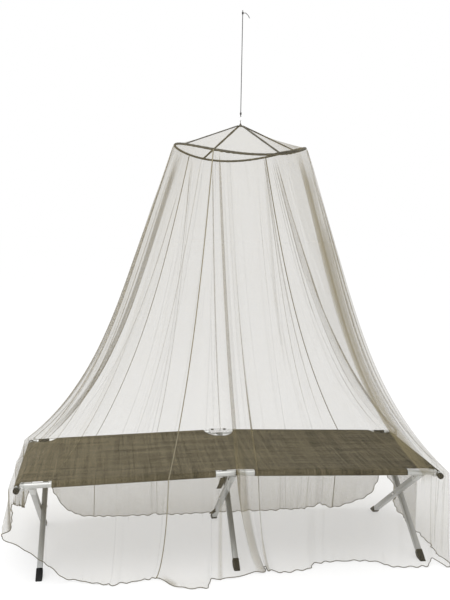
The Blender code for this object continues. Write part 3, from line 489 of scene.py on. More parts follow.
class Shape:
    """Gathers points and faces of several simple forms into one mesh."""

    def __init__(self):
        self.points = []
        self.faces = []
        self.slots = []
        self.uv = []

    def add(self, points, faces, slot=0, uv=None):
        start = len(self.points)
        self.points.extend(np.asarray(points, float).tolist())
        self.faces.extend(tuple(start + i for i in face) for face in faces)
        self.slots.extend([slot] * len(faces))
        if uv is None:
            uv = np.zeros((len(points), 2))
        self.uv.extend(np.asarray(uv).tolist())
        return self

    def tube(self, path, radius, sides=16, closed=False, across=(0, 0, 1), slot=0, flat=1.0):
        """A round form along a path. radius may be one for each point, and flat squashes it one way."""
        path = np.asarray(path, float)
        _, side, up = turn_frames(path, across, closed)
        radius = np.broadcast_to(np.asarray(radius, float), (len(path),))
        turn = full_turn(sides)
        wide = np.cos(turn)[None, :, None] * side[:, None]
        high = flat * np.sin(turn)[None, :, None] * up[:, None]
        points = path[:, None] + radius[:, None, None] * (wide + high)
        steps = np.linalg.norm(np.diff(path, axis=0), axis=1)
        lengths = np.concatenate([[0], np.cumsum(steps)])
        uv = np.stack(np.broadcast_arrays(turn[None, :] * radius.mean(), lengths[:, None]), -1)
        return self.add(points.reshape(-1, 3), ring_faces(len(path), sides, closed), slot, uv.reshape(-1, 2))

    def turned(self, centre, axis, profile, sides=24, slot=0):
        """A turned form: profile holds (distance along the axis, radius)."""
        axis = Vector(axis).normalized()
        turn = Vector((0, 0, 1)).rotation_difference(axis).to_matrix()
        rings = []
        for along, radius in profile:
            middle = Vector(centre) + axis * along
            ring = [(radius * math.cos(a), radius * math.sin(a), 0) for a in full_turn(sides)]
            rings.append([list(middle + turn @ Vector(place)) for place in ring])
        return self.prism(rings, slot)

    def prism(self, rings, slot=0):
        """Joins rings of the same number of points, and closes both ends."""
        points = [point for ring in rings for point in ring]
        return self.add(points, ring_faces(len(rings), len(rings[0])), slot)

    def make(self, name, materials, sharp=35):
        obj = add_mesh(name, self.points, self.faces, materials, uv=self.uv, slots=self.slots, sharp=sharp)
        return turned_out(obj)


def turned_out(obj):
    """Points the faces of a closed form outwards."""
    bm = bmesh.new()
    bm.from_mesh(obj.data)
    bmesh.ops.recalc_face_normals(bm, faces=bm.faces)
    bm.to_mesh(obj.data)
    bm.free()
    return obj


def rounded_ring(centre, across, up, wide, high, corner):
    """A ring of points: a rectangle across two directions, its corners rounded."""
    ring = []
    for quarter, (x, y) in enumerate(((1, 1), (-1, 1), (-1, -1), (1, -1))):
        for step in range(CORNER_STEPS + 1):
            turn = math.pi / 2 * (quarter + step / CORNER_STEPS)
            u = x * (wide / 2 - corner) + corner * math.cos(turn)
            v = y * (high / 2 - corner) + corner * math.sin(turn)
            ring.append(Vector(centre) + u * Vector(across) + v * Vector(up))
    return ring


def add_plate(shape, centre, size, corner):
    """A block whose long edges are rounded."""
    x, y, z = size
    corner = min(corner, y / 2 * 0.9, z / 2 * 0.9)
    rings = []
    back, inset = corner * 0.4, corner * 0.5
    for along, less in ((-x / 2, inset), (-x / 2 + back, 0), (x / 2 - back, 0), (x / 2, inset)):
        middle = Vector(centre) + ACROSS * along
        rings.append(rounded_ring(middle, (0, 1, 0), (0, 0, 1), y - 2 * less, z - 2 * less, corner))
    shape.prism(rings)


def at_corners(start):
    """A solid's name at each of the cot's four corners."""
    return [f"{start}_{side}_{end}" for side in ("near", "far") for end in ("left", "right")]


# ---------------------------------------------------------------- the net's surface


def ring_at(turn, radius, height):
    """Points round the hoop's upright axis."""
    return np.stack([HOOP_X + radius * np.cos(turn), radius * np.sin(turn), height], -1)


def hoop_point(turn, radius=HOOP_RADIUS):
    """Points of the sprung hoop, which dips on two sides."""
    turn = np.asarray(turn, float)
    return ring_at(turn, radius, HOOP_Z + HOOP_LIFT * np.cos(2 * turn) + HOOP_TWIST * np.sin(2 * turn))


def column(name):
    """One column of FOLDS."""
    return np.array([getattr(fold, name) for fold in FOLDS])


def between(values, place, step=0.0):
    """A column of FOLDS read between its rows, never past them. step is added on each full turn."""
    count = len(values)
    row = np.floor(place).astype(int)
    share = place - row

    def value(i):
        return values[i % count] + step * (i // count)

    a, b, c, d = value(row - 1), value(row), value(row + 1), value(row + 2)

    def slope(before, here, after):
        one, two = here - before, after - here
        limit = 2 * np.minimum(abs(one), abs(two))
        return np.where(one * two > 0, np.sign(one) * np.minimum(limit, abs(one + two) / 2), 0.0)

    out, into = slope(a, b, c), slope(b, c, d)
    s2, s3 = share**2, share**3
    start = (2 * s3 - 3 * s2 + 1) * b + (s3 - 2 * s2 + share) * out
    return start + (3 * s2 - 2 * s3) * c + (s3 - s2) * into


def plain_wall(place, drop):
    """The wall without pleats. drop is 0 at the hoop, 1 at the cot's edge and 2 at the hem."""
    turn = np.radians(between(column("hoop"), place, 360.0))
    top = hoop_point(turn, HOOP_RADIUS + HOOP_TUBE + NET_CLEARANCE)
    edge_x, edge_y, hem_x, hem_y, hem_z, trail = (
        between(column(name), place) for name in ("edge_x", "edge_y", "hem_x", "hem_y", "hem_z", "trail")
    )
    edge = np.stack([edge_x, edge_y, np.full(np.shape(place), EDGE_Z)], -1)
    hem = np.stack([hem_x, hem_y, HEM_LIFT + hem_z], -1)
    trail = trail[..., None]
    fall = np.clip(drop, 0, 1)[..., None]
    endward = np.clip((abs(edge[..., :1]) - SIDE_HALF) / (END_HALF - SIDE_HALF), 0, 1)
    inward = (1 - SAG) * fall + SAG * fall ** (SAG_POWER + END_POWER * endward)
    upper = top + (edge - top) * np.concatenate([inward, inward, fall], -1)
    rest = np.clip(drop - 1, 0, 1)[..., None]
    out = rest ** (1.2 + trail)
    down = 1 - (1 - rest) ** (1 + trail)
    lower = edge + (hem - edge) * np.concatenate([out, out, down], -1)
    return np.where(drop[..., None] <= 1, upper, lower)


def edge_marks():
    """How far round the cot's outline each fold is, in metres, and last the whole way round."""
    edge = np.stack([column("edge_x"), column("edge_y")], -1)
    gaps = np.linalg.norm(np.roll(edge, -1, 0) - edge, axis=1)
    return np.concatenate([[0], np.cumsum(gaps)])


EDGE_MARKS = edge_marks()


def edge_length(place):
    """Distance round the cot's outline to a place, in metres."""
    turns = np.floor(place / len(FOLDS))
    rest = place - turns * len(FOLDS)
    return np.interp(rest, np.arange(len(FOLDS) + 1), EDGE_MARKS) + turns * EDGE_MARKS[-1]


def edge_place(length):
    """The place at a distance round the cot's outline."""
    return np.interp(length, EDGE_MARKS, np.arange(len(FOLDS) + 1))


def round_from(mark, metres):
    """How far round the outline metres is from a mark, the shorter way."""
    total = EDGE_MARKS[-1]
    return (metres - mark + total / 2) % total - total / 2


def leaning(place, drop):
    """The place on the plain wall of a fold that crosses the cot's edge at a place."""
    metres = edge_length(place)
    at_edge, at_hoop = np.array(LEAN).T
    shift = np.interp(metres, at_edge, at_hoop - at_edge)
    return edge_place(metres + shift * (1 - np.clip(drop, 0, 1)))


def creases(settings):
    """The pinched folds of the table, and faint ones between them."""
    rng = np.random.default_rng(settings.seed)
    found = list(CREASES)
    for _ in range(settings.crease_count):
        at = rng.uniform(0, float(EDGE_MARKS[-1]))
        half_width = rng.uniform(0.0025, 0.0045)
        height = rng.uniform(0.003, 0.006)
        first = rng.choice([0.0, 0.0, 0.15, 0.4])
        last = rng.choice([0.6, 1.0, 1.4, 2.0])
        found.append(Crease("faint", at, half_width, height, 0.0, first, last))
    return found


def ease(low, high, value):
    """From 0 at low to 1 at high, with no corner at either."""
    share = np.clip((value - low) / (high - low), 0, 1)
    return share * share * (3 - 2 * share)


def bell(value, middle, width):
    """1 at the middle, and less and less away from it."""
    return np.exp(-(((value - middle) / width) ** 2))


def wavering(along, rate, wander=0.0, pace=0.0, shift=0.0):
    """A wave whose spacing wanders; rate and pace are in radians for each unit along."""
    return np.sin(along * rate + shift + wander * np.sin(along * pace))


def pleated(metres, drop, spread):
    """How far the pleats stand out of the wall, and how far their laps carry it sideways."""
    out = np.zeros(metres.shape)
    side = np.zeros(metres.shape)
    growth = np.interp(drop, *PLEAT_GROWTH)
    fade = np.interp(drop, *LAP_GROWTH)
    for mark, fold in zip(EDGE_MARKS, FOLDS):
        if not fold.pleat:
            continue
        off = round_from(mark, metres) / PLEAT_HALF_WIDTH * (1 if fold.lap >= 0 else -1)
        lean = PLEAT_LEAN if fold.lap else 0.0
        out += growth * fold.pleat * np.clip(1 - (off - lean) ** 2, 0, 1) ** 2
        if fold.lap:
            side += np.where(abs(off) < 1, -fold.lap * spread * fade * np.sin(math.pi * off), 0)
    return out, side


def creased(metres, drop, spread, settings):
    """How far the creases stand out of the wall, and how many layers are bunched in them."""
    out = np.zeros(metres.shape)
    bunched = np.zeros(metres.shape)
    growth = np.interp(drop, *CREASE_GROWTH)
    for crease in creases(settings):
        off = np.abs(round_from(crease.at, metres)) * spread / crease.half_width
        begun = ease(crease.first - 0.04, crease.first + 0.10, drop)
        ended = ease(crease.last - 0.2, crease.last, drop)
        life = begun * (1 - ended) * growth
        out += crease.height * life * np.clip(1 - off, 0, 1) ** 1.2
        bunched += crease.dense * life * np.clip(1.6 * (1 - off), 0, 1)
    return out, bunched


def rippled(metres, drop):
    """How far the gathers at the hoop and the slow waves below it stand out of the wall."""
    fine = wavering(metres, 2 * math.pi / 0.021, wander=2.0, pace=9) * np.exp(-drop / 0.07)
    broad = wavering(metres, 2 * math.pi / 0.034, wander=2.4, pace=5, shift=1.0) * np.exp(-drop / 0.20)
    gathers = GATHER_HEIGHT * (1.6 + fine + 0.6 * broad) * np.clip(drop / 0.012, 0, 1)
    waves = wavering(metres, 21, wander=1.7, pace=4) + 0.6 * wavering(metres, 47, shift=drop * 2)
    return gathers + WAVE_HEIGHT * waves * ease(0.1, 0.6, drop) * np.interp(drop, *WAVE_GROWTH)


def wall(place, drop, settings):
    """The wall's surface with its laps, creases and gathers, and how many layers of net are there, with more
    added behind the cot as painted shade.
    """
    step = 0.02
    here = plain_wall(leaning(place, drop), drop)
    ahead = plain_wall(leaning(place + step, drop), drop)
    behind = plain_wall(leaning(place - step, drop), drop)
    tangent = unit((ahead - behind) * (1, 1, 0))
    outward = np.stack([tangent[..., 1], -tangent[..., 0], np.zeros(place.shape)], -1)
    metres = edge_length(place)
    spread = np.interp(drop, *SPREAD)
    out, side = pleated(metres, drop, spread)
    pinched, bunched = creased(metres, drop, spread, settings)
    crimp = HEM_CRIMP * ease(1.7, 2.0, drop)
    crimped = wavering(metres, 139, wander=2.2, pace=7.3) + 0.8 * wavering(metres, 63, shift=1.0)
    out = out + pinched + rippled(metres, drop) + crimp * crimped
    point = here + outward * out[..., None] + tangent * side[..., None]
    point[..., 2] += crimp * (1 + wavering(metres, 117, wander=2.6, pace=5.1))
    point[..., 2] = np.maximum(point[..., 2], LEAST_HEIGHT)
    folded = np.maximum(between(column("dense"), place), 0) * np.interp(drop, *BUNCH_GROWTH)
    gathered = 0.14 * np.exp(-drop / 0.35)
    # Painted shade: below the cot's edge the far wall counts more layers of net, to darken it where the deck
    # shades it.
    painted_shade_behind_cot = FAR_SHADE * ease(1.0, 1.12, drop) * (point[..., 1] > 0)
    return point, 1 + folded + bunched + gathered + painted_shade_behind_cot


def wall_columns(first, last, settings):
    """Places of a panel's columns: evenly spaced, and closer together on every crest and crease."""
    start, end = edge_length(np.array([float(first), float(last)]))
    marks = [np.linspace(start, end, int((end - start) / COLUMN_STEP) + 1)]
    for row in range(first, last + 1):
        if FOLDS[row % len(FOLDS)].pleat:
            marks.append(EDGE_MARKS[row] + PLEAT_HALF_WIDTH * np.linspace(-1.5, 1.5, 25))
    for crease in creases(settings):
        marks.append(crease.at + crease.half_width * np.linspace(-3.2, 3.2, 23))
    found = np.sort(np.concatenate([m[(m >= start) & (m <= end)] for m in marks]))
    keep = [found[0]]
    for mark in found[1:]:
        if mark - keep[-1] > COLUMN_LEAST:
            keep.append(mark)
    keep[-1] = end
    return edge_place(np.array(keep))


def wall_panel(name, first, last, settings, net, hem_cloth):
    """A panel of the wall, one sheet with a hem rolled along its foot, and the sheet's grid of points."""
    above = np.linspace(0, 1, ROWS_ABOVE) ** 1.08
    drops = np.concatenate([above, 1 + np.linspace(0, 1, ROWS_BELOW)[1:]])
    place, drop = np.meshgrid(wall_columns(first, last, settings), drops)
    grid, layers_and_painted_shade = wall(place, drop, settings)
    rows, columns = place.shape
    steps = np.linalg.norm(np.diff(grid, axis=0), axis=2)
    fallen = np.concatenate([np.zeros((1, columns)), np.cumsum(steps, axis=0)])
    uv = np.stack([edge_length(place), fallen], -1).reshape(-1, 2)
    index = np.arange(rows * columns).reshape(rows, columns)
    quads = np.stack([index[:-1, :-1], index[1:, :-1], index[1:, 1:], index[:-1, 1:]], -1).reshape(-1, 4)
    shape = Shape().add(grid.reshape(-1, 3), quads.tolist(), uv=uv)
    hem = grid[-1].copy()
    hem[:, 2] = np.maximum(hem[:, 2], settings.hem_radius + 0.0002)
    shape.tube(hem, settings.hem_radius, sides=6, slot=1)
    extra = len(shape.points) - rows * columns
    # The layers attribute holds the net's layers and, behind the cot, painted shade counted as more layers.
    layers = {"layers": np.concatenate([layers_and_painted_shade.ravel(), np.ones(extra)])}
    cloths = [net, hem_cloth]
    return add_mesh(name, shape.points, shape.faces, cloths, shape.uv, layers, shape.slots, sharp=70), grid


def gore(turn, reach):
    """The net's top at angles round the hoop, from reach 0 at the apex to 1 at the hoop."""
    rim = hoop_point(turn, HOOP_RADIUS - HOOP_TUBE * 0.2)
    apex = ring_at(turn, APEX_RADIUS, np.full(turn.shape, APEX_Z))
    point = apex + (rim - apex) * reach[..., None]
    seams = np.radians(GORE_SEAMS)
    seams = np.concatenate([seams[-1:] - 2 * math.pi, seams, seams[:2] + 2 * math.pi])
    start = np.searchsorted(seams, turn, side="right") - 1
    share = (turn - seams[start]) / (seams[start + 1] - seams[start])
    point[..., 2] -= GORE_SAG * np.sin(math.pi * share) * np.sin(math.pi * np.clip(reach, 0, 1) ** 0.8)
    return point


# ---------------------------------------------------------------- materials


def give(tree, socket, value):
    """Sets an input to a value, or joins it to another node's output."""
    if isinstance(value, bpy.types.NodeSocket):
        tree.links.new(value, socket)
    else:
        socket.default_value = value


def feed(tree, node, **values):
    """Gives a node's named inputs their values; an underscore stands for a space."""
    for label, value in values.items():
        give(tree, node.inputs[label.replace("_", " ")], value)
    return node


def add_node(tree, kind, **values):
    """A new node with its inputs given."""
    return feed(tree, tree.nodes.new(kind), **values)


def math_node(tree, operation, *values):
    """The outcome of one sum; values are numbers or other nodes' outputs."""
    node = tree.nodes.new("ShaderNodeMath")
    node.operation = operation
    for socket, value in zip(node.inputs, values):
        give(tree, socket, value)
    return node.outputs[0]


def noise(tree, position, scale, detail, **values):
    """An uneven mask from 0 to 1."""
    node = add_node(tree, "ShaderNodeTexNoise", Vector=position, Scale=scale, Detail=detail, **values)
    return node.outputs["Fac"]


def stretched(tree, position, **values):
    """A position scaled or turned."""
    return add_node(tree, "ShaderNodeMapping", Vector=position, **values).outputs[0]


def new_tree(name, kind, inputs, outputs):
    """A node tree with named sockets; returns the tree, its inputs inside, and its output node."""
    tree = bpy.data.node_groups.new(name, kind)
    for label, socket_type, value in inputs:
        socket = tree.interface.new_socket(label, in_out="INPUT", socket_type=socket_type)
        if value is not None:
            socket.default_value = value
    for label, socket_type in outputs:
        tree.interface.new_socket(label, in_out="OUTPUT", socket_type=socket_type)
    return tree, tree.nodes.new("NodeGroupInput").outputs, tree.nodes.new("NodeGroupOutput")


def weave_group():
    """Over and under of a plain weave, from a position in metres along and across the cloth."""
    found = bpy.data.node_groups.get("Plain weave")
    if found:
        return found
    tree, start, end = new_tree(
        "Plain weave",
        "ShaderNodeTree",
        [("Position", "NodeSocketVector", None), ("Threads per metre", "NodeSocketFloat", 1500.0)],
        [("Height", "NodeSocketFloat"), ("Slub", "NodeSocketFloat")],
    )
    scaled = tree.nodes.new("ShaderNodeVectorMath")
    scaled.operation = "SCALE"
    threads = feed(tree, scaled, Vector=start["Position"], Scale=start["Threads per metre"]).outputs[0]
    parts = add_node(tree, "ShaderNodeSeparateXYZ", Vector=threads).outputs
    warp = math_node(tree, "SINE", math_node(tree, "MULTIPLY", parts["X"], math.pi))
    weft = math_node(tree, "SINE", math_node(tree, "MULTIPLY", parts["Y"], math.pi))
    height = math_node(tree, "ABSOLUTE", math_node(tree, "MULTIPLY", warp, weft))
    slub = noise(tree, stretched(tree, threads, Scale=(0.012, 0.35, 0.35)), 1.0, 3.0)
    feed(tree, end, Height=height, Slub=slub)
    return tree


def grain_group():
    """Uneven fine grain and larger soft marks, from a position."""
    found = bpy.data.node_groups.get("Grain and marks")
    if found:
        return found
    tree, start, end = new_tree(
        "Grain and marks",
        "ShaderNodeTree",
        [
            ("Position", "NodeSocketVector", None),
            ("Grain", "NodeSocketFloat", 900.0),
            ("Marks", "NodeSocketFloat", 9.0),
        ],
        [("Grain", "NodeSocketFloat"), ("Marks", "NodeSocketFloat")],
    )
    for label, detail in (("Grain", 2.0), ("Marks", 4.0)):
        feed(tree, end, **{label: noise(tree, start["Position"], start[label], detail)})
    return tree


def net_group():
    """Threads of the net, as a mask that is 1 on a thread, from a position in metres on the cloth."""
    found = bpy.data.node_groups.get("Net threads")
    if found:
        return found
    tree, start, end = new_tree(
        "Net threads",
        "ShaderNodeTree",
        [("Position", "NodeSocketVector", None), ("Cells per metre", "NodeSocketFloat", 620.0)],
        [("Thread", "NodeSocketFloat"), ("Patch", "NodeSocketFloat")],
    )
    cells = tree.nodes.new("ShaderNodeTexVoronoi")
    cells.voronoi_dimensions = "2D"
    cells.feature = "DISTANCE_TO_EDGE"
    feed(tree, cells, Vector=start["Position"], Scale=start["Cells per metre"], Randomness=0.3)
    thread = add_node(
        tree,
        "ShaderNodeMapRange",
        Value=cells.outputs["Distance"],
        From_Min=0.06,
        From_Max=0.16,
        To_Min=1.0,
        To_Max=0.0,
    )
    feed(tree, end, Thread=thread.outputs[0], Patch=noise(tree, start["Position"], 5.0, 3.0))
    return tree


def use_group(tree, group, **values):
    """Puts a group into a tree, and returns its outputs."""
    node = tree.nodes.new("ShaderNodeGroup")
    node.node_tree = group
    return feed(tree, node, **values).outputs


def cloth_position(tree):
    """The position on the cloth in metres, from the piece's own map."""
    node = tree.nodes.new("ShaderNodeUVMap")
    node.uv_map = "cloth"
    return node.outputs["UV"]


def object_position(tree):
    """The position in the piece's own frame, in metres."""
    return tree.nodes.new("ShaderNodeTexCoord").outputs["Object"]


def woven(tree, position, threads):
    """Height and slub of a plain weave."""
    weave = use_group(tree, weave_group(), Position=position, Threads_per_metre=threads)
    return weave["Height"], weave["Slub"]


def grained(tree, grain, marks):
    """Fine grain and soft marks; both numbers are how many there are to a metre."""
    found = use_group(tree, grain_group(), Position=object_position(tree), Grain=grain, Marks=marks)
    return found["Grain"], found["Marks"]


def shaded(colour, share):
    """A colour made darker, or lighter where share is over 1."""
    return tuple(channel * share for channel in colour)


def shades(tree, mask, colour, low, high):
    """Shades of one colour, by a mask: its low share where the mask is 0 and its high share where it is 1."""
    mix = tree.nodes.new("ShaderNodeMix")
    mix.data_type = "RGBA"
    feed(tree, mix, Factor=mask, A=(*shaded(colour, low), 1.0), B=(*shaded(colour, high), 1.0))
    return mix.outputs["Result"]


def scaled_up(tree, mask, share, base):
    """A mask times a share, with a base added."""
    return math_node(tree, "MULTIPLY_ADD", mask, share, base)


def bump(tree, height, distance, strength):
    """A surface's small relief, from a mask of heights."""
    node = add_node(tree, "ShaderNodeBump", Height=height, Distance=distance, Strength=strength)
    return node.outputs["Normal"]


def new_material(name):
    """A material, its node tree and its surface shader."""
    made = bpy.data.materials.new(name)
    made.use_nodes = True
    return made, made.node_tree, made.node_tree.nodes["Principled BSDF"]


def net_material(settings, name, coverage):
    """Sheer netting: a layer hides a share of what is behind it, and more where it is aslant or bunched, and
    where painted shade is counted as more layers behind the cot.
    """
    made, tree, shader = new_material(name)
    threads = use_group(tree, net_group(), Position=cloth_position(tree), Cells_per_metre=1 / settings.cell)
    patch = scaled_up(tree, threads["Patch"], 0.2, 0.9)
    share = math_node(tree, "MULTIPLY", scaled_up(tree, threads["Thread"], 1.3, 0.62), patch)
    share = math_node(tree, "MULTIPLY", share, coverage)
    # The layers count holds real layers and, on the wall behind the cot, painted shade.
    layers = tree.nodes.new("ShaderNodeAttribute")
    layers.attribute_name = "layers"
    share = math_node(tree, "MULTIPLY", share, layers.outputs["Fac"])
    open_share = math_node(tree, "SUBTRACT", 1.0, math_node(tree, "MINIMUM", share, 0.92))
    facing = add_node(tree, "ShaderNodeLayerWeight", Blend=0.5).outputs["Facing"]
    upright = math_node(tree, "MAXIMUM", math_node(tree, "SUBTRACT", 1.0, facing), 0.7)
    through = math_node(tree, "POWER", open_share, math_node(tree, "DIVIDE", 1.0, upright))
    feed(
        tree,
        shader,
        Alpha=math_node(tree, "SUBTRACT", 1.0, through),
        Base_Color=shades(tree, threads["Patch"], settings.colour, 0.82, 1.12),
        Roughness=0.8,
        Specular_IOR_Level=0.2,
    )
    return made


def tape_material(colour, name):
    """Woven cotton tape."""
    made, tree, shader = new_material(name)
    height, _ = woven(tree, object_position(tree), 1800.0)
    _, marks = grained(tree, 1400.0, 30.0)
    tone = scaled_up(tree, height, 0.35, math_node(tree, "MULTIPLY", marks, 0.6))
    colours = shades(tree, tone, colour, 0.6, 1.45)
    feed(tree, shader, Base_Color=colours, Normal=bump(tree, height, 0.0003, 0.6), Roughness=0.85)
    return made


def cot_cloth_material(settings):
    """Coated polyester in a plain weave, with the streaks of uneven thread, a soft shine, and a painted sheen
    that makes it lighter at the left end and darker at the right.
    """
    made, tree, shader = new_material("Cot cloth")
    position = object_position(tree)
    height, slub = woven(tree, position, 1100.0)
    _, marks = grained(tree, 700.0, 5.0)
    streaks = [
        noise(tree, stretched(tree, position, Scale=scale), 1.0, 4.0, Roughness=0.7)
        for scale in ((2.5, 45.0, 1.0), (90.0, 2.5, 1.0))
    ]
    # Painted sheen: the tone falls along the cot, so the cloth is lighter towards the left end and darker
    # towards the right.
    along = add_node(tree, "ShaderNodeSeparateXYZ", Vector=position).outputs["X"]
    tone = scaled_up(tree, math_node(tree, "ADD", *streaks), 1.7, -1.6)
    for mask, share in ((slub, 0.3), (marks, 0.35), (height, 0.18), (along, -0.25)):
        tone = scaled_up(tree, mask, share, tone)
    feed(
        tree,
        shader,
        Base_Color=shades(tree, tone, settings.cloth_colour, 0.25, 1.9),
        Roughness=scaled_up(tree, marks, 0.25, 0.45),
        Normal=bump(tree, height, 0.0004, 0.5),
        Specular_IOR_Level=0.05,
    )
    return made


def tube_material(settings, name, tone=1.0, shine=1.0):
    """Drawn aluminium with fine scratches and a dull patch here and there."""
    made, tree, shader = new_material(name)
    grain, marks = grained(tree, 420.0, 14.0)
    feed(
        tree,
        shader,
        Base_Color=shades(tree, marks, shaded(settings.tube_colour, tone), 0.86, 1.08),
        Roughness=scaled_up(tree, grain, 0.22, 0.24),
        Normal=bump(tree, grain, 0.0001, 0.25),
        Metallic=shine,
    )
    return made


def plastic_material(settings):
    """Moulded black plastic, scuffed a little."""
    made, tree, shader = new_material("Black plastic")
    grain, marks = grained(tree, 1500.0, 60.0)
    feed(
        tree,
        shader,
        Base_Color=shades(tree, marks, settings.plastic_colour, 0.6, 1.9),
        Roughness=scaled_up(tree, marks, 0.3, 0.3),
        Normal=bump(tree, grain, 0.0002, 0.3),
        Specular_IOR_Level=0.25,
    )
    return made


def steel_material(settings):
    """Bright plated steel."""
    made, tree, shader = new_material("Plated steel")
    grain, marks = grained(tree, 900.0, 80.0)
    colours = shades(tree, marks, settings.steel_colour, 0.9, 1.05)
    feed(tree, shader, Base_Color=colours, Roughness=scaled_up(tree, grain, 0.12, 0.12), Metallic=1.0)
    return made


def cord_material(settings):
    """Braided cord."""
    made, tree, shader = new_material("Braided cord")
    slanting = stretched(tree, object_position(tree), Rotation=(0.0, math.radians(45), 0.0))
    height, slub = woven(tree, slanting, 900.0)
    colours = shades(tree, slub, settings.cord_colour, 0.6, 1.5)
    feed(tree, shader, Base_Color=colours, Normal=bump(tree, height, 0.0004, 0.8), Roughness=0.75)
    return made


# ---------------------------------------------------------------- stitches


def stitch_tree():
    """Lays short rods of thread along a line, each lying on the line."""
    found = bpy.data.node_groups.get("Stitches")
    if found:
        return found
    tree, start, end = new_tree(
        "Stitches",
        "GeometryNodeTree",
        [
            ("Line", "NodeSocketGeometry", None),
            ("Pitch", "NodeSocketFloat", 0.004),
            ("Length", "NodeSocketFloat", 0.0026),
            ("Thickness", "NodeSocketFloat", 0.0007),
            ("Thread", "NodeSocketMaterial", None),
        ],
        [("Stitches", "NodeSocketGeometry")],
    )
    curve = add_node(tree, "GeometryNodeMeshToCurve", Mesh=start["Line"])
    spaced = tree.nodes.new("GeometryNodeResampleCurve")
    spaced.mode = "LENGTH"
    feed(tree, spaced, Curve=curve.outputs[0], Length=start["Pitch"])
    tangent = tree.nodes.new("GeometryNodeInputTangent")
    aim = tree.nodes.new("FunctionNodeAlignRotationToVector")
    aim.axis = "Z"
    feed(tree, aim, Vector=tangent.outputs[0])
    radius = math_node(tree, "MULTIPLY", start["Thickness"], 0.5)
    rod = add_node(tree, "GeometryNodeMeshCylinder", Vertices=6, Radius=radius, Depth=start["Length"])
    put = add_node(
        tree,
        "GeometryNodeInstanceOnPoints",
        Points=spaced.outputs[0],
        Instance=rod.outputs["Mesh"],
        Rotation=aim.outputs[0],
    )
    real = add_node(tree, "GeometryNodeRealizeInstances", Geometry=put.outputs[0])
    dyed = add_node(tree, "GeometryNodeSetMaterial", Geometry=real.outputs[0], Material=start["Thread"])
    feed(tree, end, Stitches=dyed.outputs[0])
    return tree


def add_stitches(name, lines, thread, pitch, length, thickness):
    """Stitches along several lines of points, as one plain mesh."""
    points, edges = [], []
    for line in lines:
        start = len(points)
        points.extend((np.asarray(line, float) - np.array(ORIGIN)).tolist())
        edges.extend((start + i, start + i + 1) for i in range(len(line) - 1))
    mesh = bpy.data.meshes.new(name + " line")
    mesh.from_pydata(points, edges, [])
    carrier = new_object(name + " line", mesh)
    modifier = carrier.modifiers.new("Stitches", "NODES")
    modifier.node_group = stitch_tree()
    values = {"Pitch": pitch, "Length": length, "Thickness": thickness, "Thread": thread}
    for item in modifier.node_group.interface.items_tree:
        if item.in_out == "INPUT" and item.name in values:
            modifier[item.identifier] = values[item.name]
    graph = bpy.context.evaluated_depsgraph_get()
    made = bpy.data.meshes.new_from_object(carrier.evaluated_get(graph))
    bpy.data.objects.remove(carrier, do_unlink=True)
    if not made.materials:
        made.materials.append(thread)
    return new_object(name, made)


# ---------------------------------------------------------------- operators


class NETCANOPY_OT_stage(bpy.types.Operator):
    """Make the floor, the soft light and the camera"""

    bl_idname = "netcanopy.stage"
    bl_label = "Stage"

    def execute(self, context):
        settings = context.scene.netcanopy_stage
        self.add_camera(context.scene, settings)
        self.add_floor(settings)
        self.add_lights(context.scene, settings)
        context.scene.view_settings.view_transform = "Standard"
        context.scene.cycles.transparent_max_bounces = LAYERS_SEEN_THROUGH
        return {"FINISHED"}

    def add_camera(self, scene, settings):
        camera = bpy.data.cameras.new("Camera")
        camera.lens = settings.focal_length
        camera.sensor_width = 36.0
        camera.clip_end = 200.0
        yaw, pitch, roll = (math.radians(angle) for angle in EYE_TURN)
        ahead = Vector((math.sin(yaw) * math.cos(pitch), math.cos(yaw) * math.cos(pitch), -math.sin(pitch)))
        right = Vector((math.cos(yaw), -math.sin(yaw), 0.0))
        up = right.cross(ahead)
        level_right = right * math.cos(roll) + up * math.sin(roll)
        level_up = -right * math.sin(roll) + up * math.cos(roll)
        turn = Matrix((level_right, level_up, -ahead)).transposed()
        eye = new_object("Camera", camera)
        eye.matrix_world = Matrix.Translation(Vector(EYE_PLACE) - ORIGIN) @ turn.to_4x4()
        scene.camera = eye

    def add_floor(self, settings):
        bm = bmesh.new()
        bmesh.ops.create_grid(bm, x_segments=8, y_segments=8, size=30.0)
        floor = bpy.data.meshes.new("Floor")
        bm.to_mesh(floor)
        bm.free()
        paint, tree, shader = new_material("Floor")
        feed(
            tree,
            shader,
            Base_Color=(*settings.floor_colour, 1.0),
            Roughness=0.9,
            Specular_IOR_Level=0.0,
            Emission_Color=(1.0, 1.0, 1.0, 1.0),
            Emission_Strength=settings.glow,
        )
        floor.materials.append(paint)
        new_object("Floor", floor)

    def add_lights(self, scene, settings):
        world = bpy.data.worlds.new("World")
        world.use_nodes = True
        feed(world.node_tree, world.node_tree.nodes["Background"], Color=(1.0, 1.0, 1.0, 1.0), Strength=1.0)
        scene.world = world
        for name, place, size, power in (
            ("Overhead", (-0.6, -1.2, 4.2), 3.0, settings.light),
            ("Front", (-2.6, -3.4, 2.4), 2.0, settings.light * 0.35),
        ):
            lamp = bpy.data.lights.new(name, "AREA")
            lamp.size = size
            lamp.energy = power
            aim = Vector((0.0, 0.0, 0.6)) - Vector(place)
            turn = aim.to_track_quat("-Z", "Y").to_matrix().to_4x4()
            new_object(name, lamp).matrix_world = Matrix.Translation(place) @ turn


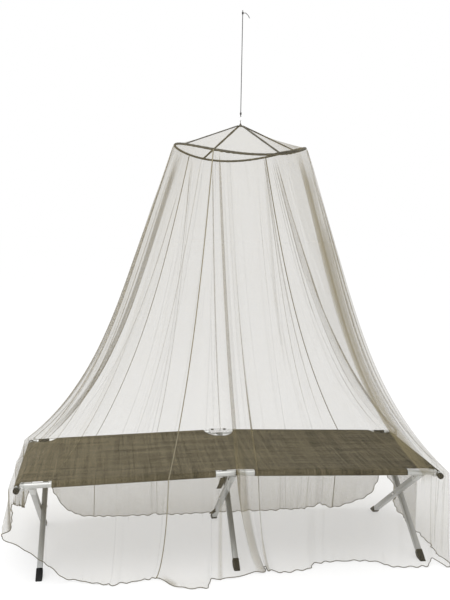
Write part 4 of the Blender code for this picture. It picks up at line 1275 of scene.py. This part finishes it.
class NETCANOPY_OT_hanging(bpy.types.Operator):
    """Make the cord, its knots and tail, the hook and the hanging loop"""

    bl_idname = "netcanopy.hanging"
    bl_label = "Hanging"

    def execute(self, context):
        settings = context.scene.netcanopy_hanging
        braid = cord_material(settings)
        bright = steel_material(settings)
        dark = tape_material(context.scene.netcanopy_net.tape_colour, "Loop tape")
        cord = self.add_cord(braid)
        pieces = [
            self.add_knot("low", CORD_LOW_Z - KNOT_HALF_HEIGHT, braid),
            self.add_knot("top", CORD_TOP_Z + KNOT_HALF_HEIGHT, braid),
            self.add_tail(braid),
        ]
        self.add_hook(bright)
        self.add_loop(dark)
        return {"FINISHED"}

    def add_cord(self, braid):
        curve = bpy.data.curves.new("cord", "CURVE")
        curve.dimensions = "3D"
        curve.bevel_depth = CORD_RADIUS
        curve.bevel_resolution = 5
        curve.use_fill_caps = True
        spline = curve.splines.new("POLY")
        heights = np.linspace(CORD_LOW_Z, CORD_TOP_Z, 40)
        spline.points.add(len(heights) - 1)
        for point, z in zip(spline.points, heights):
            point.co = (HOOP_X - ORIGIN.x, -ORIGIN.y, z, 1)
        curve.materials.append(braid)
        return finish_piece(new_object("cord", curve), ["hanging_cord"])

    def add_knot(self, name, middle, braid):
        """Three winds round the cord's end, and what comes out of them: the eye below or the stub above."""
        knot = Shape()
        turn = np.linspace(0, 3 * 2 * math.pi, 60)
        rise = KNOT_HALF_HEIGHT * 0.62 * np.linspace(-1, 1, len(turn))
        knot.tube(ring_at(turn, KNOT_WIND_RADIUS, middle + rise), 0.0017, sides=10)
        core = [(HOOP_X, 0, middle + half) for half in (-0.006, 0.006)]
        knot.tube(core, 0.0018, sides=10, across=(0, 1, 0))
        if name == "low":
            eye_low = HOOK_Z + 2 * HOOK_BEND - HOOK_WIRE - 0.0003 - EYE_WIRE
            turn = full_turn(40)
            height = eye_low + EYE_RADIUS - EYE_RADIUS * np.cos(turn)
            eye = np.stack([np.full(40, HOOP_X), EYE_RADIUS * np.sin(turn), height], -1)
            knot.tube(eye, EYE_WIRE, sides=10, closed=True, across=(1, 0, 0))
        else:
            stub = [(HOOP_X, 0, middle), (HOOP_X, 0, STUB_TOP_Z)]
            knot.tube(stub, CORD_RADIUS, sides=10, across=(0, 1, 0))
        return finish_piece(knot.make(f"cord_knot_{name}_wound", [braid]), [f"cord_knot_{name}"])

    def add_tail(self, braid):
        """The flat end that comes out of the upper knot and hangs down."""
        start = HOOP_X + KNOT_RADIUS * 0.7
        middle = CORD_TOP_Z + 0.0003 + KNOT_HALF_HEIGHT
        fine = np.linspace(0, len(TAIL_ROUTE) - 1, 17)
        out, rise = (np.interp(fine, range(len(TAIL_ROUTE)), values) for values in zip(*TAIL_ROUTE))
        path = np.stack([start + out, np.zeros(17), middle + rise], -1)
        tail = Shape().tube(path, 0.0016, sides=10, across=(0, 1, 0), flat=0.45)
        return finish_piece(tail.make("cord_tail_end", [braid]), ["cord_tail"])

    def add_hook(self, bright):
        """Two bends of wire, one above the other, that turn opposite ways."""
        bend = []
        for middle, degrees in (
            (HOOK_Z + HOOK_BEND, np.linspace(205, -90, 36)),
            (HOOK_Z - HOOK_BEND, np.linspace(90, 385, 36)[1:]),
        ):
            for a in np.radians(degrees):
                bend.append((HOOP_X + HOOK_BEND * math.cos(a), 0, middle + HOOK_BEND * math.sin(a)))
        radius = np.full(len(bend), HOOK_WIRE)
        radius[[0, -1]] *= 0.6
        hook = Shape().tube(bend, radius, sides=12, across=(0, 1, 0))
        finish_piece(hook.make("s_hook_wire", [bright]), ["s_hook"])

    def add_loop(self, dark):
        """The tape loop over the apex, with its sewn foot."""
        foot = APEX_Z + 0.001
        height = HOOK_Z - 2 * HOOK_BEND + HOOK_WIRE + 0.0012 - foot
        turn = full_turn(48)
        rise = (1 - np.cos(turn)) / 2
        opening = 0.0042 * np.sin(turn) * (0.45 + 0.55 * rise)
        band = np.stack([np.full(48, HOOP_X), opening, foot + height * rise], -1)
        loop = Shape().tube(band, 0.0017, sides=8, closed=True, across=(1, 0, 0), flat=0.5)
        loop.turned((HOOP_X, 0, APEX_Z + 0.0002), (0, 0, 1), LOOP_FOOT, sides=20)
        finish_piece(loop.make("hanging_loop_tape", [dark]), ["hanging_loop"])


class NETCANOPY_OT_wall(bpy.types.Operator):
    """Make the net's wall, its seam tapes and their stitches"""

    bl_idname = "netcanopy.wall"
    bl_label = "Wall"

    def execute(self, context):
        settings = context.scene.netcanopy_net
        net = net_material(settings, "Netting", settings.coverage)
        hem_cloth = tape_material(shaded(settings.tape_colour, 1.6), "Hem thread")
        tape = tape_material(shaded(settings.tape_colour, 3.2), "Wall tape")
        thread = tape_material(shaded(settings.tape_colour, 3.6), "Wall stitches")
        seams = []
        for name, first, last in zip(PANEL_NAMES, SEAM_ROWS, SEAM_ROWS[1:]):
            panel, grid = wall_panel(name + "_net", first, last, settings, net, hem_cloth)
            finish_piece(panel, [name])
            seams.append(grid[:, 0])
        for name, line in zip(("near", "far", "far_left"), seams):
            self.add_seam(name, line, settings, tape, thread)
        return {"FINISHED"}

    def add_seam(self, name, line, settings, tape, thread):
        """A narrow tape along a seam, just outside the net, with two rows of stitches."""
        along, _, _ = turn_frames(line, (1, 0, 0), False)
        outward = (line - np.array([HOOP_X, 0, 0])) * (1, 1, 0)
        outward = unit(outward - along * np.sum(outward * along, axis=1, keepdims=True))
        side = np.cross(along, outward)
        half = settings.wall_tape / 2
        rings = [
            [point + a * half * x + b * y for x, y in WALL_TAPE_SECTION]
            for point, a, b in zip(line, side, outward)
        ]
        strip = Shape().prism(rings)
        points = np.array(strip.points)
        points[:, 2] = np.maximum(points[:, 2], 0.0012)
        strip.points = points.tolist()
        finish_piece(strip.make(f"seam_tape_{name}", [tape]))
        lines = [line + outward * 0.0013 + side * half * share for share in (-0.55, 0.55)]
        stitches = add_stitches(f"seam_stitches_{name}", lines, thread, settings.stitch_pitch, *NET_STITCH)
        finish_piece(stitches)


class NETCANOPY_OT_top(bpy.types.Operator):
    """Make the hoop's casing, the net's top, and the tapes over its seams"""

    bl_idname = "netcanopy.top"
    bl_label = "Top"

    def execute(self, context):
        settings = context.scene.netcanopy_net
        net = net_material(settings, "Top netting", settings.coverage * 0.80)
        tape = tape_material(settings.tape_colour, "Top tape")
        thread = tape_material(shaded(settings.tape_colour, 1.3), "Top stitches")
        self.add_casing(tape)
        self.add_net(net)
        lines = []
        for number, degrees in enumerate(GORE_SEAMS):
            lines.extend(self.add_tape(number, degrees, settings, tape))
        stitches = add_stitches("top_stitches", lines, thread, settings.stitch_pitch, *NET_STITCH)
        finish_piece(stitches)
        return {"FINISHED"}

    def add_casing(self, tape):
        """The bound hoop: cloth gathered round a wire, looser where it is bunched."""
        turn = full_turn(480)
        degrees = np.degrees(turn)
        bunch = bell(degrees, 306, 9) + 0.45 * bell(degrees, 246, 14)
        ripple = 0.10 * wavering(turn, 61, wander=2, pace=7) + 0.07 * wavering(turn, 113, shift=1.0)
        path = hoop_point(turn)
        path[:, 2] += 0.0012 * bunch * np.sin(turn * 70)
        radius = HOOP_TUBE * (1.15 + ripple * (0.6 + bunch) + 0.35 * bunch)
        casing = Shape().tube(path, radius, sides=16, closed=True)
        first, last = LOOSE_CASING
        loose = (degrees > first) & (degrees < last)
        swell = np.sin(math.pi * (degrees[loose] - first) / (last - first))
        fold = hoop_point(turn[loose], HOOP_RADIUS + 0.004)
        fold[:, 2] += 0.0075 * swell
        casing.tube(fold, 0.0028 * (0.35 + swell), sides=10)
        finish_piece(casing.make("hoop_casing", [tape], sharp=80), ["hoop_binding"])

    def add_net(self, net):
        """The four gores as one sheet, wrinkled and gathered towards the hoop."""
        round_once = np.linspace(GORE_SEAMS[0], GORE_SEAMS[0] + 360, 181)
        turns = np.radians(np.unique(np.concatenate([round_once, GORE_SEAMS])))[:-1]
        turn, reach = np.meshgrid(turns, np.linspace(0, 1, 30))
        grid = gore(turn, reach)
        inward = 1 - reach
        wrinkle = 0.0009 * wavering(turn, 46, wander=3, pace=5) * np.exp(-inward / 0.12)
        grid[..., 2] += wrinkle * np.clip(inward / 0.03, 0, 1)
        index = np.arange(turn.size).reshape(turn.shape)
        following = np.roll(index, -1, 1)
        quads = np.stack([index[:-1], index[1:], following[1:], following[:-1]], -1).reshape(-1, 4)
        gathered = 2.0 * bell(np.degrees(turn), 364, 26) * reach
        layers = {"layers": (1.0 + 0.25 * np.exp(-inward / 0.08) + gathered).ravel()}
        points = grid.reshape(-1, 3)
        top = add_mesh("net_top", points, quads.tolist(), [net], points[:, :2], layers)
        finish_piece(top, [f"top_gore_{number}" for number in (1, 2, 3, 4)])

    def add_tape(self, number, degrees, settings, tape):
        """The tape over one seam of the top; returns the lines of its two rows of stitches."""
        reach = np.linspace(0.01, 0.99, 40)
        turn = np.full(40, math.radians(degrees))
        line = gore(turn, reach)
        down = gore(turn, reach + 0.01) - gore(turn, reach - 0.01)
        side = unit(gore(turn + 0.02, reach) - gore(turn - 0.02, reach))
        up = unit(np.cross(down, side))
        half = settings.top_tape / 2 * (1 + 0.12 * np.sin(reach * 23 + number))
        rings = [
            [point + a * wide * x + b * y for x, y in TOP_TAPE_SECTION]
            for point, a, b, wide in zip(line, side, up, half)
        ]
        strip = Shape().prism(rings)
        finish_piece(strip.make(f"top_tape_{number + 1}_woven", [tape]), [f"top_tape_{number + 1}"])
        return [line + up * 0.0042 + side * (half * share)[:, None] for share in (-0.6, 0.6)]


class NETCANOPY_OT_cot(bpy.types.Operator):
    """Make the cot's cloth, tubes, legs and fittings"""

    bl_idname = "netcanopy.cot"
    bl_label = "Cot"

    def execute(self, context):
        settings = context.scene.netcanopy_cot
        cloth = cot_cloth_material(settings)
        tube = tube_material(settings, "Aluminium")
        dull = tube_material(settings, "Dull aluminium", 0.68, 0.5)
        dark = tube_material(settings, "Blackened steel", 0.06, 0.5)
        plastic = plastic_material(settings)
        bright = steel_material(context.scene.netcanopy_hanging)
        thread = tape_material(shaded(settings.cloth_colour, 1.7), "Cot thread")
        self.add_deck(cloth)
        self.add_deck_stitches(thread)
        self.add_tubes(tube)
        self.add_caps(plastic)
        self.add_rail_ends(tube, bright)
        self.add_hinge_plate(bright, dark)
        for pair in LEG_PAIR_X:
            self.add_legs(pair, settings, tube, dull, plastic, bright)
        self.add_webbing(tape_material(shaded(settings.cloth_colour, 0.5), "Webbing"))
        self.add_arm(tube, dark)
        return {"FINISHED"}

    def rail_z(self, x):
        """Height of the rails' middle, which rises to the cot's middle."""
        return RAIL_END_Z + RAIL_RISE * (1 - min(abs(x) / RAIL_END_X, 1.0))

    def deck_section(self):
        """Across the cloth: (y, height over the rail, share of the sag), and how many are in one sleeve."""
        turns = np.radians(np.linspace(255, 100, 14))
        near = [(-RAIL_Y + WRAP * math.cos(a), WRAP * math.sin(a), 0.0) for a in turns]
        edge = np.linspace(-DECK_EDGE, -0.27, 6)
        flat_y = np.concatenate([edge, np.linspace(-0.25, 0.25, 25), -edge[::-1]])
        flat = [(y, WRAP + 0.0002, max(0.0, 1 - (y / SAG_HALF_WIDTH) ** 2)) for y in flat_y]
        far = [(-y, rise, sag) for y, rise, sag in reversed(near)]
        return near + flat + far, len(near)

    def recess_halves(self):
        """For each round recess in the cloth's far edge: its middle, and its half width at that edge."""
        halves = {}
        for place, (middle, radius) in BACK_RECESS.items():
            reach = (RECESS_Y - DECK_EDGE) / RECESS_DEPTH[place]
            halves[place] = (middle, math.sqrt(radius**2 - reach**2))
        return halves

    def far_limit(self, x):
        """How far back the cloth reaches at a place along the cot, or None where no recess sets it."""
        for place, (middle, half) in self.recess_halves().items():
            if abs(x - middle) < half + 1e-6:
                radius = BACK_RECESS[place][1]
                depth = math.sqrt(max(radius**2 - (x - middle) ** 2, 0.0))
                return RECESS_Y - RECESS_DEPTH[place] * depth
        return None

    def deck_stations(self):
        """Along the cloth: (x, height of the rail, share of the sag), with both ends turned down."""
        ends = {x for span in BARE_RAIL.values() for x in span}
        marks = sorted(ends | set(np.linspace(-0.80, 0.80, 65).tolist()))
        kept = BARE_RAIL["middle"]
        marks = [x for i, x in enumerate(marks) if i == 0 or x - marks[i - 1] > 0.002 or x in kept]
        for middle, half in self.recess_halves().values():
            marks = [x for x in marks if abs(x - middle) > half + 0.001]
            marks.extend(middle + half * np.sin(np.linspace(-math.pi / 2, math.pi / 2, 29)))
        marks = sorted(x for x in marks if abs(x) < RAIL_END_X + 0.016)
        over = [(x, self.rail_z(x), 1 - min(abs(x) / RAIL_END_X, 1.0) ** 8) for x in marks]
        turns = np.radians(np.linspace(85, -65, 12))
        bar_z = END_BAR_Z - WRAP
        right = [(COT_HALF_LENGTH + WRAP * math.cos(a), bar_z + WRAP * math.sin(a), 0.0) for a in turns]
        left = [(-x, z, sag) for x, z, sag in reversed(right)]
        return left + over + right

    def add_deck(self, cloth):
        """The sewn cloth: sleeves round the rails, open over the hinges, and turned down at both ends."""
        section, sleeve = self.deck_section()
        stations = self.deck_stations()
        points, free = [], []
        for x, z, b in stations:
            limit = self.far_limit(x)
            for y, rise, a in section:
                cut = limit is not None and y > limit and rise > 0.9 * WRAP
                if cut:
                    y, a = limit, max(0.0, 1 - (limit / SAG_HALF_WIDTH) ** 2)
                free.append(not cut)
                ripple = 0.0006 * math.sin(x * 37 + y * 9) * a + 0.0004 * math.sin(x * 71 - y * 17) * a
                points.append((x, y, z + rise - DECK_SAG * a * b + ripple))
        count = len(section)
        far_sleeve = range(count - sleeve - 1, count - 1)
        faces = []
        for i, (here, after) in enumerate(zip(stations, stations[1:])):
            middle = (here[0] + after[0]) / 2
            bare = any(low < middle < high for low, high in BARE_RAIL.values())
            recessed = any(abs(middle - x) < half for x, half in self.recess_halves().values())
            for k in range(count - 1):
                a, b = i * count + k, (i + 1) * count + k
                past_rail = abs(middle) > RAIL_END_X and (k < sleeve or k in far_sleeve)
                open_near = bare and k < sleeve
                open_far = recessed and (k >= far_sleeve.start or not (free[a] or free[b]))
                if not (past_rail or open_near or open_far):
                    faces.append((a, b, b + 1, a + 1))
        used = sorted({i for face in faces for i in face})
        renumber = {old: new for new, old in enumerate(used)}
        faces = [[renumber[i] for i in face] for face in faces]
        deck = add_mesh("cot_deck_cloth", [points[i] for i in used], faces, [cloth], sharp=60)
        bm = bmesh.new()
        bm.from_mesh(deck.data)
        bmesh.ops.remove_doubles(bm, verts=bm.verts, dist=1e-5)
        bmesh.ops.dissolve_degenerate(bm, edges=bm.edges, dist=1e-5)
        bm.to_mesh(deck.data)
        bm.free()
        thick = deck.modifiers.new("Thickness", "SOLIDIFY")
        thick.thickness = 0.0014
        thick.offset = 0.0
        finish_piece(deck, ["cot_deck"])

    def clear_of_cuts(self, x, y):
        """Whether a stitch fits at a place on the cloth, away from the recesses and the bare rail."""
        if y > 0:
            gaps = (math.hypot(x - middle, y - RECESS_Y) - radius for middle, radius in BACK_RECESS.values())
            return all(gap > 0.010 for gap in gaps)
        return not any(low - 0.004 < x < high + 0.004 for low, high in BARE_RAIL.values())

    def add_deck_stitches(self, thread):
        """Two rows of stitches along each sleeve, broken where the cloth is cut, and one across each end."""
        lines = []
        for y in (-0.287, -0.280, 0.280, 0.287):
            run = []
            for x in np.linspace(-0.93, 0.93, 373):
                if self.clear_of_cuts(x, y):
                    sag = DECK_SAG * (1 - (y / SAG_HALF_WIDTH) ** 2) * (1 - (abs(x) / RAIL_END_X) ** 8)
                    run.append((x, y, self.rail_z(x) + WRAP + 0.0012 - sag))
                else:
                    lines.append(run)
                    run = []
            lines.append(run)
        lines = [run for run in lines if len(run) > 1]
        for x in (-0.928, 0.928):
            height = self.rail_z(RAIL_END_X) + WRAP + 0.0010
            lines.append([(x, y, height) for y in np.linspace(-0.29, 0.29, 40)])
        stitches = add_stitches("cot_deck_stitches", lines, thread, *COT_STITCH)
        finish_piece(stitches)

    def add_tubes(self, tube):
        """The four half rails and the two end bars."""
        rails = Shape()
        for y, sign in SIGNS:
            xs = np.linspace(sign * 0.0042, sign * RAIL_END_X, 12)
            rails.tube([(x, y * RAIL_Y, self.rail_z(x)) for x in xs], TUBE_RADIUS, sides=32)
        for sign in (-1, 1):
            x = sign * COT_HALF_LENGTH
            bar = [(x, y, END_BAR_Z) for y in np.linspace(-END_BAR_HALF, END_BAR_HALF, 8)]
            rails.tube(bar, TUBE_RADIUS, sides=32)
        names = at_corners("rail") + ["end_bar_left", "end_bar_right"]
        finish_piece(rails.make("cot_frame_tubes", [tube]), names)

    def add_caps(self, plastic):
        """The end bars' caps, the rings at the rails' hinges, and two sleeves on the far rail."""
        black = Shape()
        for sign, facing in SIGNS:
            start = (sign * COT_HALF_LENGTH, facing * (END_BAR_HALF + 0.0003), END_BAR_Z)
            black.turned(start, (0, facing, 0), CAP_PROFILE, sides=32)
        for y in (-RAIL_Y, RAIL_Y):
            black.turned((-0.0035, y, self.rail_z(0)), (1, 0, 0), HINGE_RING, sides=32)
        for span in FAR_SLEEVES:
            black.tube([(x, RAIL_Y, self.rail_z(x)) for x in span], TUBE_RADIUS + 0.0010, sides=32)
        names = at_corners("end_cap") + ["rail_hinge_near", "rail_hinge_far"]
        finish_piece(black.make("cot_caps", [plastic]), names)

    def add_rail_ends(self, tube, bright):
        """The fittings between the rails and the end bars, each with its rivet."""
        ends = Shape()
        z = RAIL_END_Z - 0.004
        for sign, facing in SIGNS:
            x = sign * (RAIL_END_X + 0.0003 + 0.0083)
            add_plate(ends, (x, facing * RAIL_Y, z), (0.0166, 0.026, 0.030), 0.003)
            rivet = (x, facing * (RAIL_Y + 0.013), z)
            ends.turned(rivet, (0, facing, 0), RIVET_HEAD, sides=20, slot=1)
        finish_piece(ends.make("cot_rail_ends", [tube, bright]), at_corners("rail_end"))

    def add_hinge_plate(self, bright, dark):
        """The plate over the far rail's hinge, with its two bolts."""
        plate = Shape()
        z = self.rail_z(0) + TUBE_RADIUS + 0.0003 + 0.0015
        add_plate(plate, (0.006, RAIL_Y - 0.022, z), (0.096, 0.066, 0.003), 0.0012)
        for x in (-0.026, 0.038):
            plate.turned((x, RAIL_Y - 0.006, z + 0.0014), (0, 0, 1), PLATE_BOLT, sides=20, slot=1)
        finish_piece(plate.make("cot_hinge_plate", [bright, dark]), ["rail_hinge_plate"])

    def add_legs(self, pair, settings, tube, dull, plastic, bright):
        """Two square legs that cross at a bolt, each with a sleeve at its top and a foot."""
        corner = settings.leg_corner
        legs, feet, bolts = Shape(), Shape(), Shape()
        for facing in (-1, 1):
            x = LEG_PAIR_X[pair] - facing * LEG_OFFSET
            foot = Vector((x, facing * FOOT_Y, 0))
            rail = Vector((x, -facing * RAIL_Y, self.rail_z(x)))
            along = (rail - foot).normalized()
            third = along.cross(ACROSS)
            top = (rail - foot).length - TUBE_RADIUS - 0.0003
            step = top - SLEEVE_LENGTH
            crossing = (foot + along * (-foot.y / along.y)).z
            lower = [(FOOT_LENGTH - 0.004, LEG_SIDE), (step + 0.004, LEG_SIDE)]
            sleeve = [
                (step, SLEEVE_SIDE - 0.0012),
                (step + 0.0008, SLEEVE_SIDE),
                (top - 0.0008, SLEEVE_SIDE),
                (top, SLEEVE_SIDE - 0.0012),
            ]
            for slot, rings in ((1, lower), (0, sleeve)):
                rings = [rounded_ring(foot + along * s, ACROSS, third, w, w, corner) for s, w in rings]
                legs.prism(rings, slot)
            boot = []
            for place, side in FOOT_RINGS:
                ring = rounded_ring(foot, ACROSS, third, side, side, 0.0036)
                if place < 0.01:
                    ring = [p - along * (p.z / along.z) for p in ring]
                boot.append([p + along * place for p in ring])
            feet.prism(boot)
            for share in (0.30, 0.72):
                spot = foot + along * (step + SLEEVE_LENGTH * share)
                spot -= ACROSS * facing * SLEEVE_SIDE / 2
                bolts.turned(spot, -ACROSS * facing, SCREW_HEAD, sides=16)
        reach = LEG_OFFSET + LEG_SIDE / 2 + 0.0003
        for sign in (-1, 1):
            start = (LEG_PAIR_X[pair] + sign * reach, 0, crossing)
            bolts.turned(start, (sign, 0, 0), LEG_BOLT, sides=24)
        names = [f"leg_{pair}_near_foot", f"leg_{pair}_far_foot"]
        finish_piece(legs.make(f"cot_legs_{pair}", [tube, dull]), names)
        names = [f"foot_{pair}_near", f"foot_{pair}_far"]
        finish_piece(feet.make(f"cot_feet_{pair}", [plastic]), names)
        finish_piece(bolts.make(f"cot_bolts_{pair}", [bright]), [f"leg_bolt_{pair}"])

    def add_webbing(self, webbing):
        """Two short straps on the middle legs, one under the near rail and one by the far foot."""
        straps = Shape()
        for start, end, sag in STRAPS:
            start, end = Vector(start), Vector(end)
            wide = ACROSS * 0.011
            thick = (end - start).normalized().cross(ACROSS) * 0.0009
            rings = []
            for step in range(9):
                share = step / 8
                middle = start.lerp(end, share) + Vector((0, -sag * math.sin(math.pi * share), 0))
                rings.append([middle + wide * a + thick * b for a, b in STRAP_CORNERS])
            straps.prism(rings)
        finish_piece(straps.make("cot_webbing", [webbing]))

    def add_arm(self, tube, dark):
        """The channel that stiffens the near middle leg where it meets the rail, with its bolt."""
        arm = Shape()
        x = -LEG_OFFSET - LEG_SIDE / 2 - 0.0040
        top, foot = Vector((x, -0.312, 0.442)), Vector((x, -0.268, 0.372))
        third = (foot - top).normalized().cross(ACROSS)
        for offset, side, corner, stretch in ARM_BARS:
            ends = [end + third * offset for end in (top, foot)]
            arm.prism([rounded_ring(end, ACROSS, third * stretch, side, side, corner) for end in ends])
        spot = top.lerp(foot, 0.22) - ACROSS * 0.0030
        arm.turned(spot, -ACROSS, ARM_BOLT, sides=18, slot=1)
        finish_piece(arm.make("cot_middle_arm", [tube, dark]))


class NETCANOPY_PT_panel(bpy.types.Panel):
    bl_idname = "NETCANOPY_PT_panel"
    bl_label = "Mosquito net and cot"
    bl_space_type = "VIEW_3D"
    bl_region_type = "UI"
    bl_category = "Net"

    def draw(self, context):
        for name, kind in SETTINGS.items():
            group = getattr(context.scene, name)
            box = self.layout.box()
            for label in kind.__annotations__:
                box.prop(group, label)
        for kind in OPERATORS:
            self.layout.operator(kind.bl_idname)


SETTINGS = {
    "netcanopy_stage": StageSettings,
    "netcanopy_hanging": HangingSettings,
    "netcanopy_net": NetSettings,
    "netcanopy_cot": CotSettings,
}
OPERATORS = (
    NETCANOPY_OT_stage,
    NETCANOPY_OT_hanging,
    NETCANOPY_OT_top,
    NETCANOPY_OT_wall,
    NETCANOPY_OT_cot,
)


def register():
    for kind in (*SETTINGS.values(), *OPERATORS, NETCANOPY_PT_panel):
        bpy.utils.register_class(kind)
    for name, kind in SETTINGS.items():
        setattr(bpy.types.Scene, name, PointerProperty(type=kind))


def unregister():
    for name in SETTINGS:
        delattr(bpy.types.Scene, name)
    for kind in (NETCANOPY_PT_panel, *reversed(OPERATORS), *reversed(SETTINGS.values())):
        bpy.utils.unregister_class(kind)


def main():
    register()
    bpy.ops.netcanopy.stage()
    bpy.ops.netcanopy.hanging()
    bpy.ops.netcanopy.top()
    bpy.ops.netcanopy.wall()
    bpy.ops.netcanopy.cot()


if __name__ == "__main__":
    main()
